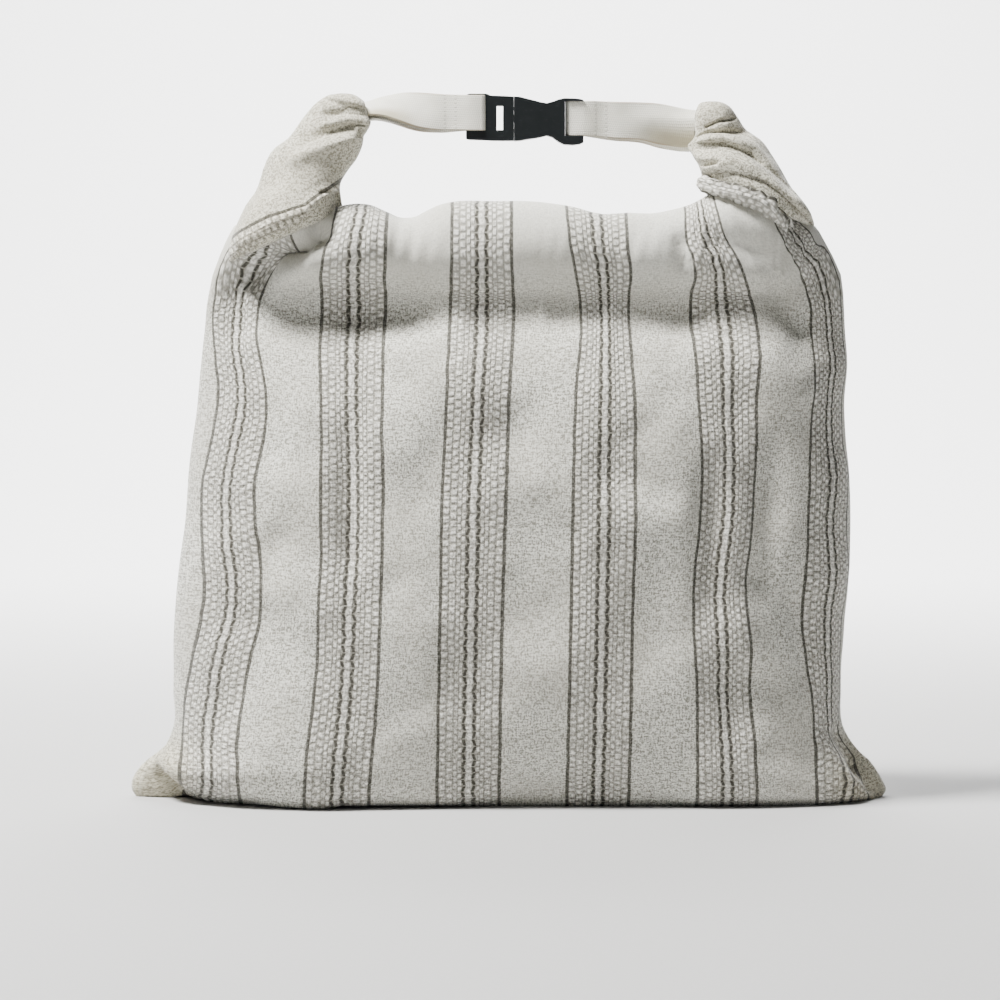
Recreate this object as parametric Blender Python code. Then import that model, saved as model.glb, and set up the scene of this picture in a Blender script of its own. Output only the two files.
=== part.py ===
"""Linen bread bag: a cloth pouch with a rolled mouth, a webbing hand loop and a side-release buckle.

The pouch is one cloth, folded at the base and sewn up both sides.  Its mouth is rolled to the back,
and the two ends of the roll bend up and inward as stems.  A doubled strap leaves the tip of each
stem, and the buckle joins the two straps above the roll.

Frame: X to the right, Y to the back, Z up.  The origin is on the floor under the middle of the bag.
Tables are in millimetres; every mesh is scaled to metres when it is made.
"""

import math

import bpy
import numpy as np

MM = 0.001

# Driving dimensions (millimetres)
CUT_WIDTH = 410.0          # flat width of the pouch, seam to seam
CLOTH = 2.0                # wall of the pouch
PANEL_COLUMNS = 26         # faces across one panel
SEAM_CROWDING = 0.055      # how much closer together the columns stand near the seams
ROLL_RADIUS = 23.0         # rolled mouth behind the ridge
ROLL_Y = -13.0             # centre of the roll, front to back
ROLL_Z = 297.0             # centre of the roll, height
ROLL_END_SHARE = 0.72      # share of its radius that the roll keeps at the seams
ROLL_END_LENGTH = 40.0     # how far from a seam it thins
ROLL_ANGLES = (195, 172, 150, 128, 106, 84, 60, 34, 6, -24, -52)
CORE_RADIUS = 4.0          # open core of the rolled ends
CORE_SIDES = 12
CORE_SHORTER = 2           # the core ends this many sections below the tip

WEBBING_THICK = 1.3
PIECE_GAP = 0.35           # between neighbouring pieces
BUCKLE_Y = -9.0
BUCKLE_Z = 366.0           # middle of the buckle
BUCKLE_THICK = 9.0

# Level sections of the filled pouch.  left/right: where the side seams run; front/back: how far the
# wall stands from the seams; mid: the seams' place front to back; fill: how box-like the section is;
# edge: 0.5 rounds the sides, 1 pinches them flat as at the corners on the floor; spread: 1 sets the
# cloth's threads straight across, 0 spaces them along the wall.
SECTION_COLUMNS = ("height", "left", "right", "front", "back", "mid", "fill", "edge", "spread")
SECTIONS = (
    (0.0, -203.0, 202.0, 51.0, 50.0, -2.0, 9.0, 1.00, 1.0),
    (3.0, -204.5, 204.5, 55.0, 54.0, -2.0, 9.0, 1.00, 0.9),
    (9.0, -204.5, 201.0, 58.0, 57.0, -2.0, 8.0, 0.95, 0.8),
    (18.0, -199.0, 194.0, 60.0, 59.0, -1.0, 6.5, 0.85, 0.6),
    (27.0, -189.0, 186.0, 61.5, 60.0, 0.0, 5.0, 0.70, 0.4),
    (37.0, -183.5, 180.5, 62.5, 61.0, 0.0, 4.0, 0.55, 0.2),
    (60.0, -183.0, 178.0, 64.0, 64.0, 0.0, 3.4, 0.50, 0.0),
    (90.0, -183.0, 180.0, 65.0, 65.0, 0.0, 3.2, 0.50, 0.0),
    (120.0, -180.5, 182.0, 65.0, 65.0, 0.0, 3.1, 0.50, 0.0),
    (150.0, -176.5, 183.0, 64.0, 64.0, 0.0, 3.0, 0.50, 0.0),
    (182.0, -174.0, 181.5, 61.0, 60.0, 0.0, 2.9, 0.50, 0.0),
    (214.0, -169.5, 179.5, 53.0, 55.0, -1.0, 2.8, 0.50, 0.0),
    (238.0, -167.0, 180.5, 43.0, 49.0, -3.0, 2.7, 0.50, 0.0),
    (254.0, -165.0, 179.0, 33.0, 44.0, -6.0, 2.7, 0.50, 0.0),
    (268.0, -163.5, 178.0, 27.0, 38.0, -9.0, 2.7, 0.50, 0.0),
    (285.0, -159.5, 175.5, 25.5, 26.0, -10.0, 2.5, 0.50, 0.0),
    (303.0, -152.0, 166.0, 22.0, 16.0, -11.0, 2.3, 0.50, 0.0),
)
SHOULDER_RISE = 31.0       # how much higher the walls reach at the seams than in the middle
SHOULDER_WIDTH = 70.0      # how far from a seam they rise
MIDDLE_RISE = 3.0

FLOOR_ROWS = (0.0, 3.0, 9.0, 18.0, 27.0, 37.0)
WALL_ROWS = (52.0, 70.0, 90.0, 110.0, 130.0, 150.0, 170.0, 190.0, 208.0, 225.0, 240.0, 254.0, 268.0)
CAVITY_ROWS = (2.0,) + FLOOR_ROWS[2:] + WALL_ROWS[:-1] + (264.0,)
CAVITY_TOP = 270.0
CAVITY_LOW = 30.0          # below this the room stands a little further in
CAVITY_LOW_INSET = 1.5
CAVITY_TOP_BACK = 26.0     # its last level is drawn in by this at the back
CAVITY_TOP_SIDE = 10.0     # and by this at each side
FOLD_REACH = 20.0          # folds fade out where the wall stands nearer the seams than this
SHOULDER_STEPS = 2         # rows above the walls
CREASE_STEPS = 3           # rows from the back panel up to the crease under the roll
CREASE_SWELL = 2.5

# Where the cloth's own columns cross the ridge: along the cut width, and across the bag.
RIDGE = (
    # cut, across
    (0.0, -132.0),
    (49.0, -118.0),
    (85.0, -94.0),
    (118.0, -66.0),
    (154.0, -33.0),
    (187.0, 0.0),
    (223.0, 30.0),
    (256.0, 61.0),
    (292.0, 92.0),
    (325.0, 110.0),
    (361.0, 124.0),
    (410.0, 136.0),
)

# Dips along the top of the ridge.
RIDGE_DIPS = (
    # across, width, depth
    (-56.0, 13.0, 8.5),
    (52.0, 16.0, 5.0),
    (78.0, 18.0, 5.5),
    (-100.0, 9.0, 3.0),
    (112.0, 10.0, 3.0),
)

# Soft troughs (depth > 0) and ridges (depth < 0) of the walls, from one end to the other.
FOLDS = (
    # side, x0, z0, x1, z1, width, depth
    ("front", -150.0, 262.0, -40.0, 268.0, 14.0, 3.0),
    ("front", 20.0, 262.0, 140.0, 258.0, 15.0, 2.5),
    ("front", -120.0, 205.0, -128.0, 110.0, 12.0, 3.0),
    ("front", 95.0, 285.0, 104.0, 200.0, 9.0, 3.5),
    ("front", 152.0, 230.0, 150.0, 90.0, 12.0, 4.0),
    ("front", 60.0, 100.0, 110.0, 60.0, 14.0, 2.5),
    ("front", -110.0, 90.0, -70.0, 40.0, 16.0, 2.5),
    ("front", 120.0, 150.0, 160.0, 40.0, 10.0, -2.0),
    ("back", -130.0, 240.0, -60.0, 150.0, 16.0, 4.0),
    ("back", 120.0, 240.0, 50.0, 140.0, 16.0, 4.0),
    ("back", -20.0, 255.0, 10.0, 120.0, 14.0, 3.0),
    ("back", -150.0, 110.0, -90.0, 30.0, 14.0, 3.0),
    ("back", 150.0, 120.0, 90.0, 30.0, 14.0, 3.0),
)

# The rolled ends: sections along each stem, from inside the shoulder to the tip.
STEM_COLUMNS = ("x", "y", "z", "half_wide", "half_deep")
LEFT_STEM = (
    (-128.0, -8.0, 262.0, 20.0, 14.0),
    (-128.0, -9.0, 285.0, 26.0, 19.0),
    (-121.5, -10.0, 306.0, 27.0, 22.5),
    (-112.5, -11.0, 327.0, 24.5, 22.0),
    (-104.0, -10.0, 342.0, 21.5, 20.0),
    (-94.5, -9.0, 355.0, 18.5, 17.5),
    (-86.5, -9.0, 363.5, 15.5, 14.8),
    (-77.5, -9.0, 366.5, 11.0, 11.4),
)
RIGHT_STEM = (
    (142.0, -8.0, 262.0, 20.0, 14.0),
    (142.0, -9.0, 285.0, 26.0, 19.0),
    (136.5, -10.0, 305.0, 26.0, 22.5),
    (129.5, -11.0, 322.0, 22.5, 22.0),
    (122.0, -10.0, 335.0, 20.5, 20.0),
    (113.0, -9.0, 350.0, 19.0, 18.0),
    (107.0, -9.0, 359.5, 16.5, 16.0),
    (102.0, -9.0, 365.0, 14.2, 14.0),
    (95.5, -9.0, 365.0, 12.6, 12.6),
)

# The straps: places of their middle line from the stem to the bar, with the width there, the turn
# about the strap's own length in degrees, and how far the two layers stand apart.
STRAP_COLUMNS = ("x", "y", "z", "width", "turn", "apart")
LEFT_STRAP = (
    (-88.0, -9.0, 367.0, 13.0, 62.0, 1.7),
    (-78.0, -9.0, 369.5, 14.0, 60.0, 1.7),
    (-70.0, -9.0, 371.0, 16.0, 52.0, 1.7),
    (-60.0, -9.0, 370.6, 18.5, 36.0, 1.7),
    (-50.0, -9.0, 369.4, 19.6, 18.0, 1.7),
    (-41.0, -9.0, 368.4, 19.6, 5.0, 1.8),
    (-34.0, -9.0, 367.6, 19.6, 0.0, 2.2),
    (-28.0, -9.0, 366.9, 19.6, 0.0, 4.2),
    (-23.4, -9.0, 366.4, 19.6, 0.0, 5.5),
)
RIGHT_STRAP = (
    (106.0, -9.0, 364.0, 14.0, 48.0, 1.7),
    (97.0, -9.0, 363.5, 15.5, 44.0, 1.7),
    (88.0, -9.0, 363.4, 18.0, 34.0, 1.7),
    (78.0, -9.0, 363.6, 19.6, 20.0, 1.7),
    (68.0, -9.0, 364.0, 19.6, 8.0, 1.7),
    (58.0, -9.0, 364.4, 19.6, 0.0, 1.8),
    (49.0, -9.0, 364.9, 19.6, 0.0, 2.2),
    (43.0, -9.0, 365.5, 19.6, 0.0, 4.2),
    (38.4, -9.0, 365.8, 19.6, 0.0, 5.5),
)
STRAP_FACES = 4            # across the width
POCKET_GAP = 0.75          # round the root of each strap
BAR_THICK = 3.5            # the bars that the straps turn round
BAR_WIDE = 7.0
BAR_CORNER = 0.6           # the strap starts to turn this far before the edge of its bar
TURN_STEPS = 8

# The buckle, along X from the middle of the bag.
PLUG_BAR = -23.4           # far side of the bar that the left strap turns round
PLUG_SLOT = -16.4
PLUG_RUNG = -13.2          # the second bar
PLUG_WINDOW = -8.4
PLUG_BASE = -4.6
PLUG_MOUTH = 2.0           # where the plug meets the socket
PLUG_TIP = 23.0            # ends of the arms
SLOT_HALF = 10.4           # half height of the slots that the straps go through
SOCKET_SLOT = 27.6
SOCKET_BAR = 31.4          # the bar that the right strap turns round
SOCKET_END = 38.4
PLUG_CHAMFER = 0.5
BASE_CHAMFER = 0.8
SOCKET_CHAMFER = 0.9
BASE_THINNER = 0.2         # the plug's base stands this far inside the socket's faces
WINDOW_HALF = 6.6          # half height of the plug's small window
THROUGH = 9.0              # cutters reach this far to the front and back
GUIDE_HALF = (2.2, 1.4)    # half height and half thickness of the guide prong
GUIDE_SHORTER = 4.0        # it ends this far before the arms
ARM_SPAN = (5.4, 8.0)      # heights between which each arm runs
CATCH_SPAN = (5.4, 9.6)    # and its catch
ARM_HALF_THICK = 1.9
ARM_SHORTER = 8.0
CATCH_LENGTH = 9.0
ROOTED = 1.0               # prong and arms start this far inside the base
ROOM_HALF = (8.6, 2.5)     # half height and half thickness of the room in the socket
ROOM_CLEAR = 1.2           # past the ends of the arms
SIDE_WINDOW_LENGTH = 10.0  # the socket's side windows, back from the ends of the arms
SIDE_WINDOW_CLEAR = 0.8
SIDE_WINDOW_HALF = 20.0    # wider than the socket
RELIEF_HALF_THICK = 5.0    # the cutters that thin the socket's end to its bar
RELIEF_OVERLAP = (1.0, 2.0)
PLUG_OUTLINE = (
    # x, half height
    (PLUG_BAR, 11.5),
    (-21.8, 12.7),
    (PLUG_BASE, 12.7),
    (0.5, 12.1),
    (PLUG_MOUTH, 11.8),
)
PLUG_BASE_OUTLINE = (
    (-4.2, 12.4),
    (0.5, 12.0),
    (PLUG_MOUTH, 11.4),
)
SOCKET_OUTLINE = (
    (2.35, 11.8),
    (7.0, 11.2),
    (13.0, 10.6),
    (19.0, 10.4),
    (24.0, 12.4),
    (28.5, 13.2),
    (34.0, 13.4),
    (38.4, 12.8),
)
STEM_SIDES = 18
STEM_STEPS = 2             # rows between two sections of a table
STEM_LOBES = 3             # ridges that the roll shows round a stem
LOBE_DEPTH = 0.10          # share of the radius
STEM_TWIST = 2.4           # radians that the ridges turn from foot to tip


def clear_scene():
    """Remove every object, so that only the bag is left."""
    for thing in list(bpy.data.objects):
        bpy.data.objects.remove(thing, do_unlink=True)


def material(name, colour, roughness):
    """A plain Principled finish."""
    finish = bpy.data.materials.new(name)
    finish.use_nodes = True
    shader = finish.node_tree.nodes["Principled BSDF"]
    shader.inputs["Base Color"].default_value = (*colour, 1.0)
    shader.inputs["Roughness"].default_value = roughness
    return finish


def mesh_object(name, points, faces, finish=None):
    """One object from points in millimetres."""
    mesh = bpy.data.meshes.new(name)
    mesh.from_pydata([tuple(value * MM for value in point) for point in points], [], faces)
    mesh.validate()
    mesh.shade_smooth()
    thing = bpy.data.objects.new(name, mesh)
    bpy.context.scene.collection.objects.link(thing)
    if finish:
        mesh.materials.append(finish)
    return thing


def cutter(name, points, faces):
    """A closed guide shape that is joined to, or cut from, another and isn't built itself."""
    thing = mesh_object(name, points, faces)
    thing.hide_render = True
    thing.display_type = "WIRE"
    return thing


def boolean(target, tool, operation):
    """Join or cut one closed shape with another."""
    step = target.modifiers.new(tool.name, "BOOLEAN")
    step.operation = operation
    step.object = tool
    step.solver = "EXACT"


def smooth_rows(table, key, value):
    """A row of the table at any place along its first column, by a smooth curve through the rows."""
    rows = np.array(table, dtype=float)
    places = rows[:, 0]
    slopes = np.gradient(rows, places, axis=0)
    last = min(max(int(np.searchsorted(places, value)) - 1, 0), len(places) - 2)
    span = places[last + 1] - places[last]
    t = (value - places[last]) / span
    h00 = 2 * t ** 3 - 3 * t ** 2 + 1
    h10 = t ** 3 - 2 * t ** 2 + t
    h01 = -2 * t ** 3 + 3 * t ** 2
    h11 = t ** 3 - t ** 2
    row = (h00 * rows[last] + h10 * span * slopes[last]
           + h01 * rows[last + 1] + h11 * span * slopes[last + 1])
    return dict(zip(key, row))


def fold_depth(side, x, z):
    """How far the folds of one side draw the wall in at a point."""
    depth = 0.0
    for where, x0, z0, x1, z1, width, deep in FOLDS:
        if where != side:
            continue
        along_x = x1 - x0
        along_z = z1 - z0
        t = ((x - x0) * along_x + (z - z0) * along_z) / (along_x ** 2 + along_z ** 2)
        t = min(max(t, 0.0), 1.0)
        away = math.hypot(x - x0 - t * along_x, z - z0 - t * along_z)
        depth += deep * math.exp(-(away / width) ** 2)
    return depth


def section_points(section, side, columns, inset):
    """Points of one panel at one level, left seam to right seam, one for each column of the cloth."""
    left = section["left"] + inset
    right = section["right"] - inset
    depth = section[side] - inset
    sign = -1.0 if side == "front" else 1.0
    fine = np.linspace(-1.0, 1.0, 401)
    across = (left + right) / 2 + (right - left) / 2 * np.sin(fine * math.pi / 2)
    share = np.abs(np.sin(fine * math.pi / 2)) ** section["fill"]
    out = depth * np.clip(1.0 - share, 0.0, 1.0) ** section["edge"]
    length = np.concatenate(([0.0], np.cumsum(np.hypot(np.diff(across), np.diff(out)))))
    along_wall = np.interp(columns, length / length[-1], across)
    straight = left + columns * (right - left)
    spread = min(max(section["spread"], 0.0), 1.0)
    x = spread * straight + (1.0 - spread) * along_wall
    y = section["mid"] + sign * np.interp(x, across, out)
    points = []
    for px, py in zip(x, y):
        drawn_in = fold_depth(side, px, section["height"])
        reach = abs(py - section["mid"])
        drawn_in *= min(1.0, reach / FOLD_REACH)
        points.append((px, py - sign * drawn_in, section["height"]))
    return points


def column_shares(count):
    """Where the columns stand along the cut width, closer together near the seams."""
    even = np.linspace(0.0, 1.0, count + 1)
    return even - SEAM_CROWDING * np.sin(2 * math.pi * even)


def roll_section(cut, angle):
    """A point of the roll at one column of the cloth; the angle runs from the back over the top."""
    across = np.interp(cut, [row[0] for row in RIDGE], [row[1] for row in RIDGE])
    dip = sum(depth * math.exp(-((across - place) / width) ** 2) for place, width, depth in RIDGE_DIPS)
    full = min(1.0, min(cut, CUT_WIDTH - cut) / ROLL_END_LENGTH)
    radius = ROLL_RADIUS * (ROLL_END_SHARE + (1.0 - ROLL_END_SHARE) * full) - 0.5 * dip
    height = ROLL_Z - 0.5 * dip
    return (across, ROLL_Y + radius * math.cos(angle), height + radius * math.sin(angle))


def build_pouch(finish):
    """The outer form of the pouch: walls, floor, corners and the rolled mouth, as one closed skin."""
    columns = column_shares(PANEL_COLUMNS)
    points = []
    index = {}

    def add(key, point):
        """Keep one shared point for each key."""
        if key not in index:
            index[key] = len(points)
            points.append(point)
        return index[key]

    last = PANEL_COLUMNS
    rows = FLOOR_ROWS + WALL_ROWS
    for row, height in enumerate(rows):
        section = smooth_rows(SECTIONS, SECTION_COLUMNS, height)
        for side in ("front", "back"):
            for column, point in enumerate(section_points(section, side, columns, 0.0)):
                seam = column in (0, last)
                add(("seam" if seam else side, row, column), point)

    def wall(side, row, column):
        """Index of a wall point; the two panels share the seams."""
        return index[("seam" if column in (0, last) else side, row, column)]

    faces = []
    for row in range(len(rows) - 1):
        for column in range(last):
            a, b = wall("front", row, column), wall("front", row, column + 1)
            c, d = wall("front", row + 1, column + 1), wall("front", row + 1, column)
            faces.append((a, b, c, d))
            a, b = wall("back", row, column), wall("back", row, column + 1)
            c, d = wall("back", row + 1, column + 1), wall("back", row + 1, column)
            faces.append((d, c, b, a))
    for column in range(last):
        ring = [wall("back", 0, column), wall("back", 0, column + 1),
                wall("front", 0, column + 1), wall("front", 0, column)]
        faces.append(tuple(dict.fromkeys(ring)))

    # The front panel goes on over the roll and down behind it; the back panel comes up to meet it.
    for step in range(1, SHOULDER_STEPS + 1):
        row = len(rows) - 1 + step
        for side in ("front", "back"):
            for column in range(last + 1):
                cut = columns[column] * CUT_WIDTH
                near = max(0.0, 1.0 - min(cut, CUT_WIDTH - cut) / SHOULDER_WIDTH)
                height = rows[-1] + (MIDDLE_RISE + SHOULDER_RISE * near ** 1.5) * step / SHOULDER_STEPS
                section = smooth_rows(SECTIONS, SECTION_COLUMNS, height)
                point = section_points(section, side, columns, 0.0)[column]
                add(("seam" if column in (0, last) else side, row, column), point)
        for column in range(last):
            for side in ("front", "back"):
                ring = (wall(side, row - 1, column), wall(side, row - 1, column + 1),
                        wall(side, row, column + 1), wall(side, row, column))
                faces.append(ring if side == "front" else tuple(reversed(ring)))
    top = len(rows) - 1 + SHOULDER_STEPS
    front_rows = [[wall("front", top, column) for column in range(last + 1)]]
    for step, angle in enumerate(np.radians(ROLL_ANGLES)):
        front_rows.append([add(("over", step, column), roll_section(columns[column] * CUT_WIDTH, angle))
                           for column in range(last + 1)])
    crease = front_rows[-1]
    back_rows = [[wall("back", top, column) for column in range(last + 1)]]
    for step in range(1, CREASE_STEPS):
        share = step / CREASE_STEPS
        line = []
        for column in range(last + 1):
            low = np.array(points[back_rows[0][column]])
            high = np.array(points[crease[column]])
            mixed = low + (high - low) * share
            mixed[2] += CREASE_SWELL * math.sin(math.pi * share)
            line.append(add(("under", step, column), tuple(mixed)))
        back_rows.append(line)
    back_rows.append(crease)
    for low, high in zip(front_rows[:-1], front_rows[1:]):
        for column in range(last):
            faces.append((low[column], low[column + 1], high[column + 1], high[column]))
    for low, high in zip(back_rows[:-1], back_rows[1:]):
        for column in range(last):
            faces.append((high[column], high[column + 1], low[column + 1], low[column]))
    left_end = [line[0] for line in front_rows] + [line[0] for line in reversed(back_rows[1:-1])]
    right_end = [line[last] for line in front_rows] + [line[last] for line in reversed(back_rows[1:-1])]
    faces.append(tuple(left_end))
    faces.append(tuple(reversed(right_end)))
    return mesh_object("bag", points, faces, finish)


def build_cavity():
    """The empty room in the pouch, one cloth's thickness inside its walls."""
    columns = column_shares(PANEL_COLUMNS)
    last = PANEL_COLUMNS
    loops = []
    for height in CAVITY_ROWS + (CAVITY_TOP,):
        section = smooth_rows(SECTIONS, SECTION_COLUMNS, min(height, CAVITY_ROWS[-1]))
        section["height"] = height
        if height == CAVITY_TOP:
            section["back"] -= CAVITY_TOP_BACK
            section["left"] += CAVITY_TOP_SIDE
            section["right"] -= CAVITY_TOP_SIDE
        inset = CLOTH + (CAVITY_LOW_INSET if height < CAVITY_LOW else 0.0)
        front = section_points(section, "front", columns, inset)
        back = section_points(section, "back", columns, inset)
        loops.append(front + back[-2:0:-1])
    points = [point for loop in loops for point in loop]
    size = 2 * last
    faces = []
    for row in range(len(loops) - 1):
        for place in range(size):
            following = (place + 1) % size
            faces.append((row * size + place, row * size + following,
                          (row + 1) * size + following, (row + 1) * size + place))
    for row, turn in ((0, True), (len(loops) - 1, False)):
        for column in range(last):
            ring = [row * size + column, row * size + column + 1,
                    row * size + (size - column - 1), row * size + (size - column) % size]
            ring = list(dict.fromkeys(ring))
            faces.append(tuple(reversed(ring)) if turn else tuple(ring))
    return cutter("room", points, faces)


def sweep(table, steps, sides, shape):
    """Rings along a table of places; shape gives each ring's half sizes and its lobes."""
    rows = np.array(table, dtype=float)
    count = (len(rows) - 1) * steps + 1
    places = np.linspace(0.0, len(rows) - 1.0, count)
    numbered = np.column_stack((np.arange(len(rows)), rows))
    keys = ("place",) + STEM_COLUMNS
    stations = [smooth_rows(numbered, keys, place) for place in places]
    centres = np.array([[row["x"], row["y"], row["z"]] for row in stations])
    ways = np.gradient(centres, axis=0)
    ways /= np.linalg.norm(ways, axis=1)[:, None]
    points = []
    for number, (station, centre, way) in enumerate(zip(stations, centres, ways)):
        deep = np.array([0.0, 1.0, 0.0])
        deep -= way * deep.dot(way)
        deep /= np.linalg.norm(deep)
        wide = np.cross(deep, way)
        share = number / (count - 1)
        for side in range(sides):
            angle = 2 * math.pi * side / sides
            half_wide, half_deep = shape(station, share, angle)
            points.append(tuple(centre + wide * half_wide * math.cos(angle)
                                + deep * half_deep * math.sin(angle)))
    faces = []
    for number in range(count - 1):
        for side in range(sides):
            following = (side + 1) % sides
            faces.append((number * sides + side, number * sides + following,
                          (number + 1) * sides + following, (number + 1) * sides + side))
    faces.append(tuple(reversed(range(sides))))
    faces.append(tuple((count - 1) * sides + side for side in range(sides)))
    return points, faces


def build_stem(name, table, turn):
    """One rolled end, with the soft ridges of its twist."""
    def shape(station, share, angle):
        """The section's half sizes, drawn in between the ridges."""
        lobe = 1.0 + LOBE_DEPTH * math.sin(share * math.pi) * math.cos(
            STEM_LOBES * (angle - turn * STEM_TWIST * share))
        return station["half_wide"] * lobe, station["half_deep"] * lobe
    points, faces = sweep(table, STEM_STEPS, STEM_SIDES, shape)
    return cutter(name, points, faces)


def build_core(name, table):
    """The open core of a rolled end, from the room in the pouch nearly to the tip."""
    def shape(_station, _share, _angle):
        """A round core."""
        return CORE_RADIUS, CORE_RADIUS

    points, faces = sweep(table[:-CORE_SHORTER], STEM_STEPS, CORE_SIDES, shape)
    return cutter(name, points, faces)


def build_pocket(name, table):
    """The flat space that the strap's root leaves between the turns of a rolled end."""
    points = []
    rows = [dict(zip(STRAP_COLUMNS, row)) for row in table[:3]]
    rows[0]["x"] += math.copysign(PIECE_GAP + 1.0, rows[0]["x"])
    for row in rows:
        angle = math.radians(row["turn"])
        half_wide = row["width"] / 2 + POCKET_GAP
        half_thick = row["apart"] / 2 + WEBBING_THICK / 2 + POCKET_GAP
        for wide, thick in ((-1, -1), (1, -1), (1, 1), (-1, 1)):
            across = wide * half_wide
            out = thick * half_thick
            points.append((row["x"],
                           row["y"] + out * math.cos(angle) + across * math.sin(angle),
                           row["z"] - out * math.sin(angle) + across * math.cos(angle)))
    faces = [(0, 1, 2, 3), (11, 10, 9, 8)]
    for ring in (0, 4):
        for corner in range(4):
            following = (corner + 1) % 4
            faces.append((ring + corner, ring + 4 + corner, ring + 4 + following, ring + following))
    if rows[0]["x"] > 0:
        faces = [tuple(reversed(face)) for face in faces]
    return cutter(name, points, faces)


def build_strap(name, table, heading, finish):
    """A doubled strap: out along one layer, round the bar of the buckle and back along the other."""
    rows = [dict(zip(STRAP_COLUMNS, row)) for row in table]
    line = []
    for row in rows:
        line.append((row["x"], row["y"], row["z"], row["width"], row["turn"], row["apart"] / 2))
    end = rows[-1]
    reach = end["apart"] / 2
    bar_middle = end["x"] + heading * (BAR_WIDE - BAR_CORNER)
    bend = []
    for step in range(TURN_STEPS + 1):
        angle = math.pi * step / TURN_STEPS
        bend.append((bar_middle + heading * reach * math.sin(angle), end["y"], end["z"],
                     end["width"], 0.0, reach * math.cos(angle)))
    back = [(x, y, z, width, turn, -out) for x, y, z, width, turn, out in reversed(line)]
    points = []
    path = line + bend + back
    for x, y, z, width, turn, out in path:
        angle = math.radians(turn)
        for column in range(STRAP_FACES + 1):
            across = width * (column / STRAP_FACES - 0.5)
            points.append((x,
                           y - out * math.cos(angle) + across * math.sin(angle),
                           z + out * math.sin(angle) + across * math.cos(angle)))
    size = STRAP_FACES + 1
    faces = []
    for row in range(len(path) - 1):
        for column in range(STRAP_FACES):
            faces.append((row * size + column, row * size + column + 1,
                          (row + 1) * size + column + 1, (row + 1) * size + column))
    strap = mesh_object(name, points, faces, finish)
    wall = strap.modifiers.new("thickness", "SOLIDIFY")
    wall.thickness = WEBBING_THICK * MM
    wall.offset = 0.0
    wall.use_even_offset = True
    return strap


def outlined_block(outline, half_thick, chamfer):
    """Points and faces of a block with a symmetrical outline along X and chamfered front and back."""
    loop = [(x, half) for x, half in outline] + [(x, -half) for x, half in reversed(outline)]
    middle_x = (outline[0][0] + outline[-1][0]) / 2
    layers = []
    for y, inset in ((-half_thick, chamfer), (-half_thick + chamfer, 0.0),
                     (half_thick - chamfer, 0.0), (half_thick, chamfer)):
        layer = []
        for x, z in loop:
            inner_x = x - math.copysign(inset, x - middle_x) if x in (outline[0][0], outline[-1][0]) else x
            layer.append((inner_x, BUCKLE_Y + y, BUCKLE_Z + z - math.copysign(inset, z)))
        layers.append(layer)
    points = [point for layer in layers for point in layer]
    count = len(loop)
    faces = []
    for row in range(len(layers) - 1):
        for place in range(count):
            following = (place + 1) % count
            faces.append((row * count + following, row * count + place,
                          (row + 1) * count + place, (row + 1) * count + following))
    half = len(outline)
    for row, turn in ((0, False), (len(layers) - 1, True)):
        for place in range(half - 1):
            ring = (row * count + place, row * count + place + 1,
                    row * count + count - 2 - place, row * count + count - 1 - place)
            faces.append(tuple(reversed(ring)) if turn else ring)
    return points, faces


def box(x0, x1, z0, z1, half_thick):
    """Points and faces of a straight block in the buckle's own place."""
    points = [(x, BUCKLE_Y + y, BUCKLE_Z + z)
              for x in (x0, x1) for y in (-half_thick, half_thick) for z in (z0, z1)]
    faces = [(0, 1, 3, 2), (4, 6, 7, 5), (0, 4, 5, 1), (2, 3, 7, 6), (0, 2, 6, 4), (1, 5, 7, 3)]
    return points, faces


def build_plug(finish):
    """The plug: a frame with two bars, a base, a guide prong and two springy arms."""
    frame = outlined_block(PLUG_OUTLINE, BAR_THICK / 2, PLUG_CHAMFER)
    plug = mesh_object("buckle_plug", *frame, finish)
    base = outlined_block(PLUG_BASE_OUTLINE, BUCKLE_THICK / 2 - BASE_THINNER, BASE_CHAMFER)
    boolean(plug, cutter("plug_base", *base), "UNION")
    slot = box(PLUG_SLOT, PLUG_RUNG, -SLOT_HALF, SLOT_HALF, THROUGH)
    boolean(plug, cutter("plug_slot", *slot), "DIFFERENCE")
    window = box(PLUG_WINDOW, PLUG_BASE, -WINDOW_HALF, WINDOW_HALF, THROUGH)
    boolean(plug, cutter("plug_window", *window), "DIFFERENCE")
    root = PLUG_MOUTH - ROOTED
    high, thick = GUIDE_HALF
    boolean(plug, cutter("plug_guide", *box(root, PLUG_TIP - GUIDE_SHORTER, -high, high, thick)), "UNION")
    for name, side in (("upper", 1.0), ("lower", -1.0)):
        inner, outer = sorted(side * height for height in ARM_SPAN)
        arm = box(root, PLUG_TIP - ARM_SHORTER, inner, outer, ARM_HALF_THICK)
        boolean(plug, cutter("plug_arm_" + name, *arm), "UNION")
        inner, outer = sorted(side * height for height in CATCH_SPAN)
        catch = box(PLUG_TIP - CATCH_LENGTH, PLUG_TIP, inner, outer, ARM_HALF_THICK)
        boolean(plug, cutter("plug_catch_" + name, *catch), "UNION")
    return plug


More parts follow.
